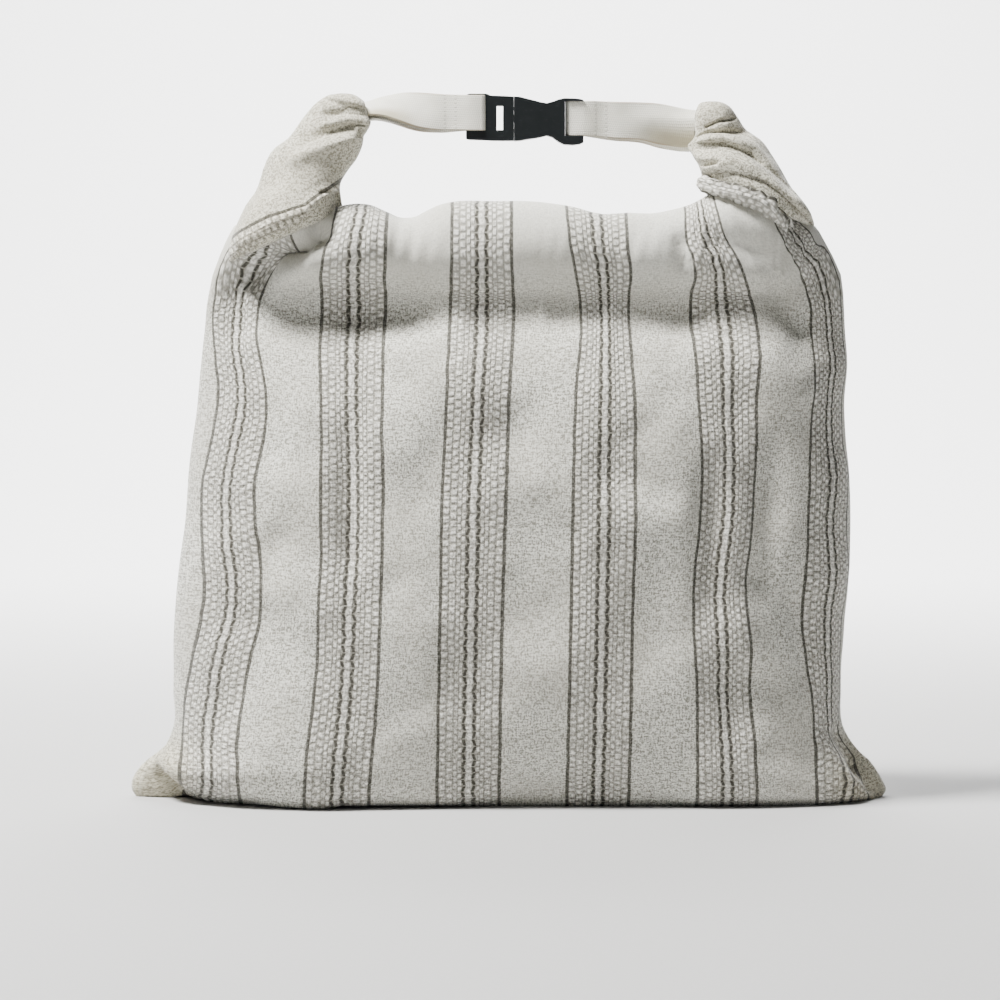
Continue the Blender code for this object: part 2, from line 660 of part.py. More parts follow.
def build_socket(finish):
    """The socket: a flared housing with side windows for the catches, a slot and an end bar."""
    housing = outlined_block(SOCKET_OUTLINE, BUCKLE_THICK / 2, SOCKET_CHAMFER)
    socket = mesh_object("buckle_socket", *housing, finish)
    high, thick = ROOM_HALF
    room = box(PLUG_MOUTH - ROOTED, PLUG_TIP + ROOM_CLEAR, -high, high, thick)
    boolean(socket, cutter("socket_room", *room), "DIFFERENCE")
    windows = box(PLUG_TIP - SIDE_WINDOW_LENGTH, PLUG_TIP + SIDE_WINDOW_CLEAR,
                  -SIDE_WINDOW_HALF, SIDE_WINDOW_HALF, thick)
    boolean(socket, cutter("socket_windows", *windows), "DIFFERENCE")
    slot = box(SOCKET_SLOT, SOCKET_BAR, -SLOT_HALF, SLOT_HALF, THROUGH)
    boolean(socket, cutter("socket_slot", *slot), "DIFFERENCE")
    near_overlap, far_overlap = RELIEF_OVERLAP
    for name, near in (("front", -1.0), ("back", 1.0)):
        points, faces = box(SOCKET_BAR - near_overlap, SOCKET_END + far_overlap,
                            -SLOT_HALF, SLOT_HALF, RELIEF_HALF_THICK)
        shift = near * (RELIEF_HALF_THICK + BAR_THICK / 2)
        points = [(x, y + shift, z) for x, y, z in points]
        boolean(socket, cutter("socket_relief_" + name, points, faces), "DIFFERENCE")
    return socket


def main():
    """Build the bag."""
    clear_scene()
    linen = material("linen", (0.56, 0.55, 0.50), 0.9)
    pouch = build_pouch(linen)
    for name, table, turn in (("stem_left", LEFT_STEM, 1.0), ("stem_right", RIGHT_STEM, -1.0)):
        boolean(pouch, build_stem(name, table, turn), "UNION")
    boolean(pouch, build_cavity(), "DIFFERENCE")
    for side, stem, strap in (("left", LEFT_STEM, LEFT_STRAP), ("right", RIGHT_STEM, RIGHT_STRAP)):
        boolean(pouch, build_core("core_" + side, stem), "DIFFERENCE")
        boolean(pouch, build_pocket("pocket_" + side, strap), "DIFFERENCE")
    webbing = material("webbing", (0.66, 0.64, 0.56), 0.8)
    build_strap("webbing_left", LEFT_STRAP, 1.0, webbing)
    build_strap("webbing_right", RIGHT_STRAP, -1.0, webbing)
    plastic = material("buckle_plastic", (0.02, 0.025, 0.028), 0.45)
    build_plug(plastic)
    build_socket(plastic)


main()
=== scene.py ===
"""A linen bread bag: striped cloth pouch, rolled mouth, webbing hand loop and side-release buckle.

The frame is in metres, +Z up, with the floor at z = 0, X across the bag and Y towards its back.
Tables are in millimetres; `grid_piece` brings every surface to metres.
"""

import math

import bmesh
import bpy
import numpy as np
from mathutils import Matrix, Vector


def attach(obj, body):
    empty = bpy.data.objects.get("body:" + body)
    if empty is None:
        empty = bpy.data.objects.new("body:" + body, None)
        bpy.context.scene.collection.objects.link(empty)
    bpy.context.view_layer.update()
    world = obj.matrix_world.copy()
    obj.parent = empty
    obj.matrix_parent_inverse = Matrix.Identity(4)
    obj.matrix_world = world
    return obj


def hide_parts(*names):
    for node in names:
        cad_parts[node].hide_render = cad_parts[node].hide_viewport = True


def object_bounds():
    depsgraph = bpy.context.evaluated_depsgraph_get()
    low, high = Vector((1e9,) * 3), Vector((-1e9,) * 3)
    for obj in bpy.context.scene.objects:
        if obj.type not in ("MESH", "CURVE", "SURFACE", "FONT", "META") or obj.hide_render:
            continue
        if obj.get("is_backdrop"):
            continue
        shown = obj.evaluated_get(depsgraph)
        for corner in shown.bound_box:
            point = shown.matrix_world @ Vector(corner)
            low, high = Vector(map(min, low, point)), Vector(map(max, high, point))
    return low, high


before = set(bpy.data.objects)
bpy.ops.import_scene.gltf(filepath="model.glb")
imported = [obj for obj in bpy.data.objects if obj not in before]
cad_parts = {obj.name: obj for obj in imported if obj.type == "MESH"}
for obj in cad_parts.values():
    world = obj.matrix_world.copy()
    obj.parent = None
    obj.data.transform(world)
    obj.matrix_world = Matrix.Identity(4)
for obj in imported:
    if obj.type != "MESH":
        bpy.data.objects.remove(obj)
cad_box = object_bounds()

MM = 0.001


# ---------------------------------------------------------------- the view and the studio
# A paper sweep, grey near the bag and white far behind it, and four soft lamps: a strong one above
# and to the left, a weak one from the right, and two behind that lift the edges and light the paper.
VIEW_WIDTH = 0.54          # metres that the picture takes in at the middle of the bag
VIEW_DISTANCE = 2.0
VIEW_ELEVATION = math.radians(3.0)
VIEW_CENTRE = (-0.0062, 0.0, 0.1605)
SENSOR = 36.0
SWEEP_HALF = 3.0
SWEEP_BEND = 0.8           # radius of the paper's bend behind the bag
SWEEP_BACK = 1.6           # where the bend starts
SWEEP_HEIGHT = 3.0
PAPER_NEAR = ((0.47, 0.47, 0.47), (0.51, 0.51, 0.51))
PAPER_FAR = (0.93, 0.93, 0.93)
PAPER_WHITE_AT = 1.9       # how far back the paper is white
LAMPS = (
    # name, place, aim, size, watts, colour
    ("key", (-0.80, -0.38, 1.70), (0.0, 0.0, 0.15), 0.48, 128.0, (1.0, 0.99, 0.965)),
    ("fill", (1.5, -1.3, 0.5), (0.0, 0.0, 0.15), 1.2, 1.2, (0.97, 0.99, 1.0)),
    ("rim", (0.2, 1.4, 1.5), (0.0, 0.0, 0.25), 1.4, 12.0, (1.0, 1.0, 1.0)),
    ("back", (0.0, 1.5, 1.9), (0.0, 2.5, 0.7), 1.6, 150.0, (1.0, 1.0, 1.0)),
)
SKY = (0.93, 0.95, 0.97)
SKY_STRENGTH = 0.07


def aimed(thing, place, aim):
    """Put a lamp or camera at a place with its own -Z axis towards the aim."""
    thing.location = place
    way = np.subtract(aim, place)
    flat = math.hypot(way[0], way[1])
    thing.rotation_euler = (math.pi / 2 + math.atan2(way[2], flat), 0.0, math.atan2(-way[0], way[1]))


def calc(tree, operation, *values):
    """One Math node; each value is a number or another node's output."""
    node = tree.nodes.new("ShaderNodeMath")
    node.operation = operation
    for socket, value in zip(node.inputs, values):
        if isinstance(value, (int, float)):
            socket.default_value = value
        else:
            tree.links.new(value, socket)
    return node.outputs[0]


def ramp(tree, value, low, high, start=0.0, end=1.0):
    """A smooth rise from start to end as the value goes from low to high."""
    node = tree.nodes.new("ShaderNodeMapRange")
    node.interpolation_type = "SMOOTHSTEP"
    for name, number in (("From Min", low), ("From Max", high), ("To Min", start), ("To Max", end)):
        node.inputs[name].default_value = number
    tree.links.new(value, node.inputs["Value"])
    return node.outputs["Result"]


def noise(tree, vector, scale, detail=2.0, roughness=0.5):
    """A soft noise between 0 and 1 over a vector."""
    node = tree.nodes.new("ShaderNodeTexNoise")
    node.inputs["Scale"].default_value = scale
    node.inputs["Detail"].default_value = detail
    node.inputs["Roughness"].default_value = roughness
    tree.links.new(vector, node.inputs["Vector"])
    return node.outputs["Fac"]


def stretched(tree, vector, scale):
    """The vector with each axis multiplied."""
    node = tree.nodes.new("ShaderNodeVectorMath")
    node.operation = "MULTIPLY"
    node.inputs[1].default_value = scale
    tree.links.new(vector, node.inputs[0])
    return node.outputs["Vector"]


def parts_of(tree, vector):
    """The three parts of a vector."""
    node = tree.nodes.new("ShaderNodeSeparateXYZ")
    tree.links.new(vector, node.inputs[0])
    return node.outputs["X"], node.outputs["Y"], node.outputs["Z"]


def mixed(tree, share, first, second, blend="MIX"):
    """Two colours mixed; each is a tuple or another node's output."""
    node = tree.nodes.new("ShaderNodeMix")
    node.data_type = "RGBA"
    node.blend_type = blend
    for socket, value in zip((node.inputs[0], node.inputs[6], node.inputs[7]), (share, first, second)):
        if isinstance(value, (int, float)):
            socket.default_value = value
        elif isinstance(value, tuple):
            socket.default_value = (*value, 1.0)
        else:
            tree.links.new(value, socket)
    return node.outputs[2]


def new_finish(name, **constants):
    """A material with its Principled shader; constants go straight on the shader's sockets."""
    finish = bpy.data.materials.new(name)
    finish.use_nodes = True
    shader = finish.node_tree.nodes["Principled BSDF"]
    for socket, value in constants.items():
        shader.inputs[socket.replace("_", " ")].default_value = value
    return finish, finish.node_tree, shader


def bumped(tree, shader, height, distance, strength=1.0):
    """Lead a height into the shader's normal."""
    node = tree.nodes.new("ShaderNodeBump")
    node.inputs["Distance"].default_value = distance
    node.inputs["Strength"].default_value = strength
    tree.links.new(height, node.inputs["Height"])
    tree.links.new(node.outputs["Normal"], shader.inputs["Normal"])


def coordinates(tree, kind):
    """An output of the texture coordinates."""
    return tree.nodes.new("ShaderNodeTexCoord").outputs[kind]


def placed(name, data):
    """A new object in the scene."""
    thing = bpy.data.objects.new(name, data)
    bpy.context.scene.collection.objects.link(thing)
    return thing


camera_data = bpy.data.cameras.new("camera")
camera_data.sensor_width = SENSOR
camera_data.lens = SENSOR * VIEW_DISTANCE / VIEW_WIDTH
camera = placed("camera", camera_data)
camera_place = (VIEW_CENTRE[0], -VIEW_DISTANCE * math.cos(VIEW_ELEVATION),
                VIEW_CENTRE[2] + VIEW_DISTANCE * math.sin(VIEW_ELEVATION))
aimed(camera, camera_place, VIEW_CENTRE)
bpy.context.scene.camera = camera

for name, place, aim, size, watts, colour in LAMPS:
    lamp_data = bpy.data.lights.new("lamp_" + name, "AREA")
    lamp_data.size = size
    lamp_data.energy = watts
    lamp_data.color = colour
    aimed(placed("lamp_" + name, lamp_data), place, aim)

world = bpy.data.worlds.new("sky")
world.use_nodes = True
background = world.node_tree.nodes["Background"]
background.inputs["Color"].default_value = (*SKY, 1.0)
background.inputs["Strength"].default_value = SKY_STRENGTH
bpy.context.scene.world = world

paper, tree, shader = new_finish("studio_paper", Roughness=0.9)
paper_grain = noise(tree, coordinates(tree, "Object"), 400.0, 3.0)
_, paper_back, _ = parts_of(tree, coordinates(tree, "Object"))
near_paper = mixed(tree, paper_grain, *PAPER_NEAR)
paper_colour = mixed(tree, ramp(tree, paper_back, 0.0, PAPER_WHITE_AT), near_paper, PAPER_FAR)
tree.links.new(paper_colour, shader.inputs["Base Color"])
bumped(tree, shader, paper_grain, 0.0001, 0.3)

bend = np.linspace(0.0, math.pi / 2, 24)
sweep_line = np.column_stack((
    np.concatenate(([-SWEEP_HALF], SWEEP_BACK + SWEEP_BEND * np.sin(bend), [SWEEP_BACK + SWEEP_BEND])),
    np.concatenate(([0.0], SWEEP_BEND * (1.0 - np.cos(bend)), [SWEEP_HEIGHT]))))
sweep_points = [(x, y, z) for y, z in sweep_line for x in (-SWEEP_HALF, SWEEP_HALF)]
sweep_faces = [(2 * k, 2 * k + 1, 2 * k + 3, 2 * k + 2) for k in range(len(sweep_line) - 1)]
sweep_mesh = bpy.data.meshes.new("studio_floor")
sweep_mesh.from_pydata(sweep_points, [], sweep_faces)
sweep_mesh.materials.append(paper)
sweep_mesh.shade_smooth()
studio_floor = placed("studio_floor", sweep_mesh)
studio_floor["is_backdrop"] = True


# ---------------------------------------------------------------- the pouch
# One linen cloth, folded at the base and sewn up both sides, filled so that it stands.  Its mouth
# is rolled to the back: the front panel goes over the roll and down behind it to the back panel.
CUT_WIDTH = 410.0          # from seam to seam
POUCH_COLUMNS = 184
POUCH_CLOTH = 1.1          # thickness
SEAM_GROOVE = 1.2          # the seams lie this far in, where the two panels are sewn
SEAM_REACH = 2.4
WALL_STEP = 3.3            # between level rows
SECTIONS = (
    # height, left, right, front, back, mid, fill, edge, spread
    (0, -204.5, 202, 40, 40, -2, 9, 1.00, 1),
    (3, -206.5, 204, 48, 48, -2, 9, 1.00, 0.9),
    (9, -206.5, 202, 54.5, 54, -2, 8, 0.95, 0.8),
    (18, -200.5, 196, 59, 58, -1, 6.5, 0.85, 0.6),
    (27, -189, 187, 61.5, 60, 0, 5, 0.70, 0.4),
    (37, -183.5, 180.5, 63, 61, 0, 4, 0.55, 0.2),
    (60, -183, 178, 64, 64, 0, 3.4, 0.50, 0),
    (90, -183, 180, 65, 65, 0, 3.2, 0.50, 0),
    (120, -180.5, 182, 65, 65, 0, 3.1, 0.50, 0),
    (150, -176.5, 183, 64, 64, 0, 3, 0.50, 0),
    (182, -174, 181.5, 61, 60, 0, 2.9, 0.50, 0),
    (214, -169.5, 179.5, 53, 55, -1, 2.8, 0.50, 0),
    (238, -167, 180.5, 43, 49, -3, 2.7, 0.50, 0),
    (254, -165, 179, 32, 44, -6, 2.7, 0.50, 0),
    (268, -163.5, 178, 24.5, 38, -9, 2.7, 0.50, 0),
    (285, -159.5, 175.5, 25.5, 26, -10, 2.5, 0.50, 0),
    (303, -152, 166, 22, 16, -11, 2.3, 0.50, 0),
)
# At the left the corner is a flat flap, and the filled pouch stands before and behind it.
EAR = (
    # height, share of the half width that the filled part reaches, half thickness of the flap
    (0, 0.845, 7),
    (4, 0.862, 9),
    (9, 0.893, 10),
    (14, 0.935, 10),
    (19, 0.975, 8),
    (27, 1, 0),
    (400, 1, 0),
)
FLOOR_ROWS = (0.0, 0.8, 1.8, 3.0, 4.8, 7.0, 9.5, 12.5, 16.0, 20.0, 24.0, 28.0, 32.0, 36.0)
# Where the flap meets the filled pouch, the cloth is held a little off the ground.
NOTCH_X, NOTCH_HALF_X = -172.0, 9.0
NOTCH_Y, NOTCH_HALF_Y = -7.0, 14.0
NOTCH_RISE = 1.8
WALL_TOP = 268.0
SHOULDER_RISE = 31.0       # how much higher the cloth goes at the seams than in the middle
SHOULDER_WIDTH = 70.0
MIDDLE_RISE = 3.0
ROLL_RADIUS = 24.5
ROLL_Y = -17.0
ROLL_Z = 296.2
ROLL_END_UP = 13.0         # its ends rise into the stems
ROLL_END_BACK = 7.0
ROLL_END_WIDTH = 75.0      # of the cut, over which the roll gets thinner
ROLL_END_SIZES = (0.16, 0.20)     # shares of the radius, left and right
ROLL_ANGLES = (214, 194, 172, 150, 128, 106, 84, 60, 34, 6, -24, -52, -74)
RIDGE_DIPS = (
    # across, width, depth
    (-56, 13, 8.5),
    (50, 16, 5),
    (76, 18, 5.5),
    (-100, 9, 3),
    (113, 12, -5),
    (132, 10, -4),
)

# The stripes: six like groups across the cut, each between two dark lines, 33 mm apart.
STRIPE_FIRST = 32.5        # middle of the first group, from the left seam
STRIPE_PITCH = 69.0
STRIPE_HALF = 16.4
CELL_RISE = 4.15           # height of a honeycomb cell
THREAD_PITCH = 0.85
# Where the middles of the groups run across the front, and how wide each group is there.
STRIPE_PATHS = (
    # height, middles of the six groups, widths of the six groups
    (9, (-160, -92, -22.9, 45.7, 114, 177), (33, 34, 33, 33, 32, 30)),
    (60, (-157, -87, -22, 46.6, 112.1, 171), (33, 33, 33, 33, 29, 22)),
    (112, (-148, -84.7, -20.9, 47.7, 109.5, 168.5), (30, 33, 33, 33, 28, 24)),
    (164, (-151, -83.7, -19.7, 48.5, 114.3, 168.5), (30, 33, 34, 33, 29, 22)),
    (216, (-143.5, -84.2, -17.6, 49, 113.6, 171), (26, 33, 33, 31, 31, 22)),
    (268, (-148.5, -85, -15.7, 49.5, 111.8, 168), (24, 35, 34, 26, 32, 18)),
    (287, (-143, -83.5, -15.8, 48, 108, 163), (28, 34, 32, 30, 23, 22)),
    (300, (-134, -82.5, -15.8, 46, 102, 155), (26, 32, 32, 31, 20, 20)),
    (318, (-124, -79.5, -15.8, 45, 99.5, 138), (16, 28, 32, 32, 15, 12)),
)
RIDGE_ENDS = (
    # angle on the roll in degrees, where its two ends lie
    (60, -136, 150),
    (106, -137, 151),
    (140, -142, 155),
    (172, -145, 160.5),
    (214, -147.8, 164),
)

# Soft troughs (depth > 0) and swells (depth < 0) of the two walls, from one end to the other.
FOLDS = {
    # x0, z0, x1, z1, width, depth
    "front": (
        (-150, 266, -26, 262, 14, 11),
        (-100, 256, -70, 255, 11, 2),
        (-26, 264, 16, 263, 11, 3.5),
        (16, 265, 52, 262, 12, 6.5),
        (52, 264, 108, 259, 12, 8),
        (70, 222, 86, 206, 15, -3.5),
        (128, 240, 150, 225, 12, -2),
        (-140, 281, -122, 294, 8, 16),
        (-122, 294, -104, 304, 7.5, 17),
        (-87, 206, -85, 122, 7, 6),
        (-80, 240, -60, 226, 9, 2.5),
        (104, 182, 102, 104, 7.5, 5.5),
        (136, 182, 132, 114, 9, 6),
        (139, 273, 160, 247, 7.5, 7.5),
        (99, 303, 142, 290, 11, 7.5),
        (89, 299, 91, 288, 5, 4),
        (-153, 273, -147, 256, 8, 5),
        (-129, 97, -126, 92, 17, 4),
        (67, 106, 70, 98, 17, 4),
        (112, 62, 116, 50, 13, 4),
        (54, 176, 74, 168, 11, 4),
        (0, 198, 8, 190, 14, 3.5),
        (-131, 204, -128, 190, 12, 4.5),
        (-120, 150, -140, 118, 12, 3),
        (-30, 240, -6, 204, 17, -4),
        (38, 236, 64, 198, 15, -4.5),
        (128, 242, 152, 208, 13, -5),
        (-150, 48, -85, 14, 28, -8.5),
        (120, 96, 122, 84, 12, -4),
        (-60, 120, -40, 60, 18, -3),
        (-52, 218, -50, 212, 22, -4),
        (78, 176, 82, 160, 24, -4.5),
        (-20, 15, 100, 11, 16, 7),
        (150, 120, 160, 60, 9, 4),
        (-196, 19, -180, 5, 3, 5),
        (176, 36, 187, 20, 4.5, 4.5),
        (187, 20, 198, 3, 4, 5),
        (166, 30, 178, 12, 5, -3),
    ),
    "back": (
        (-130, 240, -60, 150, 15, 5),
        (120, 240, 50, 140, 15, 5.5),
        (-20, 250, 10, 120, 13, 4),
        (-150, 110, -90, 30, 13, 4),
        (150, 120, 90, 30, 13, 4.5),
        (-120, 262, -20, 266, 12, 4),
        (30, 266, 120, 262, 12, 4),
        (20, 90, 60, 60, 12, -3),
        (-70, 110, -30, 70, 14, -3),
        (-194, 22, -172, 3, 4.5, 5),
        (170, 26, 194, 4, 4.5, 5),
    ),
}
SHORT_FOLD = 30.0          # longer ones get shallower towards their ends
# Small gathers: fine upright ridges where the stripes are drawn together under the roll.
GATHERS = (
    # x, z, half width, half height, pitch, depth
    (101, 291, 16, 16, 5.4, 1.5),
    (-62, 296, 22, 14, 9, 0.8),
    (48, 296, 26, 14, 8, 0.7),
    (150, 282, 14, 22, 5, 1.3),
    (-138, 285, 12, 18, 6, 1.2),
)


def hermite(places, values, wanted):
    """A smooth curve through rows of values at given places, read at the wanted places.

    Between two rows: the cubic that meets both with the slopes of their neighbours.
    """
    values = np.asarray(values, dtype=float)
    places = np.asarray(places, dtype=float)
    slopes = np.gradient(values, places, axis=0)
    last = np.clip(np.searchsorted(places, wanted) - 1, 0, len(places) - 2)
    flat = (-1,) + (1,) * (values.ndim - 1)
    span = (places[last + 1] - places[last]).reshape(flat)
    t = ((wanted - places[last]).reshape(flat)) / span
    return ((2 * t ** 3 - 3 * t ** 2 + 1) * values[last] + (t ** 3 - 2 * t ** 2 + t) * span * slopes[last]
            + (3 * t ** 2 - 2 * t ** 3) * values[last + 1] + (t ** 3 - t ** 2) * span * slopes[last + 1])


def stripe_knots(height):
    """Cut positions of the seams and the twelve dark lines, and where they cross the front there."""
    heights = np.array([row[0] for row in STRIPE_PATHS])
    held = np.clip(height, heights[0], heights[-1])
    middles, widths = (hermite(heights, [row[column] for row in STRIPE_PATHS], held) for column in (1, 2))
    cuts = [STRIPE_FIRST + STRIPE_PITCH * k + side * STRIPE_HALF for k in range(6) for side in (-1, 1)]
    across = np.stack((middles - widths / 2, middles + widths / 2), axis=-1).reshape(len(height), 12)
    return np.array([0.0] + cuts + [CUT_WIDTH]), across


def wall_rows(heights, side, cut, guided):
    """Points of one panel at many levels.

    Each section runs from seam to seam as y = mid +- depth * (1 - |x|^fill)^edge, with x from -1 to 1,
    and its columns are spaced by the length of the cloth, or held to the stripes where guided.
    """
    table = np.array(SECTIONS)
    read = hermite(table[:, 0], table[:, 1:], heights)
    t = np.sin(np.linspace(-1.0, 1.0, 601) * math.pi / 2)
    share = np.abs(t)
    left, right, front, back, mid, fill, edge, spread = read.T
    depth = front if side == "front" else back
    sign = -1.0 if side == "front" else 1.0
    knots, lines = stripe_knots(heights)
    rows = []
    for k, height in enumerate(heights):
        across = (left[k] + right[k]) / 2 + (right[k] - left[k]) / 2 * t
        out = depth[k] * np.clip(1.0 - share ** fill[k], 0.0, 1.0) ** edge[k]
        full, flap = (np.interp(height, *np.array(EAR).T[[0, column]]) for column in (1, 2))
        if full < 1.0:
            filled = depth[k] * np.clip(1.0 - (share / full) ** 6.0, 0.0, 1.0) ** 0.5
            flat = flap * np.clip((1.0 - share) / (1.0 - full), 0.0, 1.0) ** 0.6
            kept = np.clip((height - 14.0) / 10.0, 0.0, 1.0)
            out = np.where(t < -0.5, kept * out + (1.0 - kept) * np.maximum(filled, flat), out)
        length = np.concatenate(([0.0], np.cumsum(np.hypot(np.diff(across), np.diff(out)))))
        x = np.interp(cut / CUT_WIDTH, length / length[-1], across)
        if guided:
            inner = np.clip(lines[k], left[k] + 2.0, right[k] - 2.0)
            at = np.interp(np.concatenate(([left[k]], inner, [right[k]])), across, length)
            at = np.maximum.accumulate(at + np.arange(len(at)) * 0.3)
            at *= length[-1] / at[-1]
            x = np.interp(np.interp(cut, knots, at), length, across)
        else:
            straight = left[k] + cut / CUT_WIDTH * (right[k] - left[k])
            x = spread[k] * straight + (1.0 - spread[k]) * x
        y = mid[k] + sign * np.interp(x, across, out)
        rows.append(np.column_stack((x, y, np.full(len(x), height))))
    return np.array(rows)


def shoulder_row(step, side, cut, guided):
    """The rows above the walls, which rise towards the seams."""
    near = np.clip(1.0 - np.minimum(cut, CUT_WIDTH - cut) / SHOULDER_WIDTH, 0.0, 1.0)
    heights = WALL_TOP + (MIDDLE_RISE + SHOULDER_RISE * near ** 1.5) * step
    rows = wall_rows(heights, side, cut, guided)
    return rows[np.arange(len(cut)), np.arange(len(cut))]


def roll_size(cut):
    """Across the cut: how thick the roll is as a share of its middle, and how far it is lifted."""
    end = np.clip(np.minimum(cut, CUT_WIDTH - cut) / ROLL_END_WIDTH, 0.0, 1.0) ** 0.8
    thin = np.where(cut < CUT_WIDTH / 2, *ROLL_END_SIZES)
    return thin + (1.0 - thin) * end, (1.0 - end) ** 1.5


def roll_rows(angles, cut):
    """Rows of the roll: circles about its middle line, drawn in at the ends and at the ridge's dips.

    The stripes stay where they are at the height of the cloth in front; behind the ridge they keep
    its places.  They are pressed together softly where the end of the roll is near.
    """
    size, lifted = roll_size(cut)
    knots, _ = stripe_knots(np.zeros(1))
    line_size, line_lifted = roll_size(knots[1:-1])
    reach = np.array(RIDGE_ENDS).T
    ends = [np.interp(np.degrees(angles), reach[0], reach[side]) for side in (1, 2)]
    rows = []
    for angle, left, right in zip(angles, *ends):
        levels = (ROLL_Z + ROLL_END_UP * line_lifted
                  + ROLL_RADIUS * line_size * math.sin(max(angle, math.pi / 2)))
        line = np.diagonal(stripe_knots(levels)[1])
        line = left + 3.0 * np.logaddexp(0.0, (line - left) / 3.0)
        line = right - 3.0 * np.logaddexp(0.0, (right - line) / 3.0)
        x = np.interp(cut, knots, np.concatenate(([left], line, [right])))
        dip = sum(depth * np.exp(-((x - place) / width) ** 2) for place, width, depth in RIDGE_DIPS)
        radius = ROLL_RADIUS * size - 0.5 * dip
        rows.append(np.column_stack((x, ROLL_Y + ROLL_END_BACK * lifted + radius * math.cos(angle),
                                     ROLL_Z + ROLL_END_UP * lifted - 0.5 * dip + radius * math.sin(angle))))
    return np.array(rows)


def resampled(rows, step):
    """More rows along a sheet: smooth curves through the given ones, about a step apart."""
    along = np.linalg.norm(np.diff(rows, axis=0), axis=2).mean(axis=1)
    places = np.concatenate(([0.0], np.cumsum(along)))
    return hermite(places, rows, np.linspace(0.0, places[-1], int(places[-1] / step) + 1))


def normals_of(points):
    """Unit normals of a grid of points: along the rows crossed with along the columns."""
    normal = np.cross(np.gradient(points, axis=1), np.gradient(points, axis=0))
    return normal / np.maximum(np.linalg.norm(normal, axis=2, keepdims=True), 1e-9)


def soft_waves(x, z, seed, size, count=9):
    """A sum of sines in seeded directions, between about -1 and 1, with waves of about the size."""
    draw = np.random.default_rng(seed)
    total = np.zeros_like(x)
    for _ in range(count):
        way = draw.uniform(0.0, math.pi)
        length = size * draw.uniform(0.7, 1.5)
        total += np.sin((x * math.cos(way) + z * math.sin(way)) * 2 * math.pi / length
                        + draw.uniform(0.0, 6.3))
    return total / math.sqrt(count)


def wall_relief(points, side):
    """How far the wall is drawn in: the folds, the gathers and small waves."""
    x, z = points[..., 0], points[..., 2]
    depth = np.zeros_like(x)
    for x0, z0, x1, z1, width, deep in FOLDS[side]:
        run_x, run_z = x1 - x0, z1 - z0
        t = np.clip(((x - x0) * run_x + (z - z0) * run_z) / (run_x ** 2 + run_z ** 2), 0.0, 1.0)
        away = np.hypot(x - x0 - t * run_x, z - z0 - t * run_z)
        taper = 0.7 if run_x ** 2 + run_z ** 2 > SHORT_FOLD ** 2 else 0.0
        depth += deep * (1.0 - taper * np.abs(2.0 * t - 1.0) ** 3) * np.exp(-(away / width) ** 2)
    if side == "front":
        for place, level, half_x, half_z, pitch, deep in GATHERS:
            near = np.exp(-((x - place) / half_x) ** 2 - ((z - level) / half_z) ** 2)
            bent = x - place - 2.0 * np.sin((z - level) / 9.0)
            depth += deep * near * np.cos(2 * math.pi * bent / pitch)
    depth += 1.1 * soft_waves(x, z, 5 if side == "front" else 6, 62.0)
    depth += 0.26 * soft_waves(x, z, 15 if side == "front" else 16, 20.0, 14)
    return depth


def grid_piece(name, points, uv, finish, thickness=0.0, ring=False, merge=False, striped=None):
    """A mesh from a grid of points in millimetres, with the cloth's own measures as its UV map.

    ring closes the grid in its second direction, and merge joins edges that lie on each other.
    striped, from 0 to 1 at each point, says where the cloth shows its stripes.
    """
    rows, columns = points.shape[:2]
    index = np.arange(rows * columns).reshape(rows, columns)
    if ring:
        index = np.concatenate((index, index[:, :1]), axis=1)
    faces = np.stack((index[:-1, :-1], index[:-1, 1:], index[1:, 1:], index[1:, :-1]), axis=-1).reshape(-1, 4)
    shape = bpy.data.meshes.new(name)
    shape.from_pydata((points.reshape(-1, 3) * MM).tolist(), [], faces.tolist())
    layer = shape.uv_layers.new(name="cloth")
    if ring:
        uv = np.concatenate((uv, uv[:, :1] + (uv[:, -1:] - uv[:, -2:-1])), axis=1)
        wide = np.arange(rows * (columns + 1)).reshape(rows, columns + 1)
        faces = np.stack((wide[:-1, :-1], wide[:-1, 1:], wide[1:, 1:], wide[1:, :-1]), axis=-1).reshape(-1, 4)
    layer.data.foreach_set("uv", (uv.reshape(-1, 2) * MM)[faces.reshape(-1)].reshape(-1))
    if striped is not None:
        shown = shape.attributes.new("striped", "FLOAT", "POINT")
        shown.data.foreach_set("value", striped.reshape(-1).astype(np.float32))
    if merge:
        work = bmesh.new()
        work.from_mesh(shape)
        bmesh.ops.remove_doubles(work, verts=work.verts, dist=0.00002)
        bmesh.ops.dissolve_degenerate(work, edges=work.edges, dist=0.00001)
        work.to_mesh(shape)
        work.free()
    shape.materials.append(finish)
    shape.shade_smooth()
    piece = placed(name, shape)
    if thickness:
        wall = piece.modifiers.new("thickness", "SOLIDIFY")
        wall.thickness = thickness * MM
        wall.offset = -1.0
    return piece


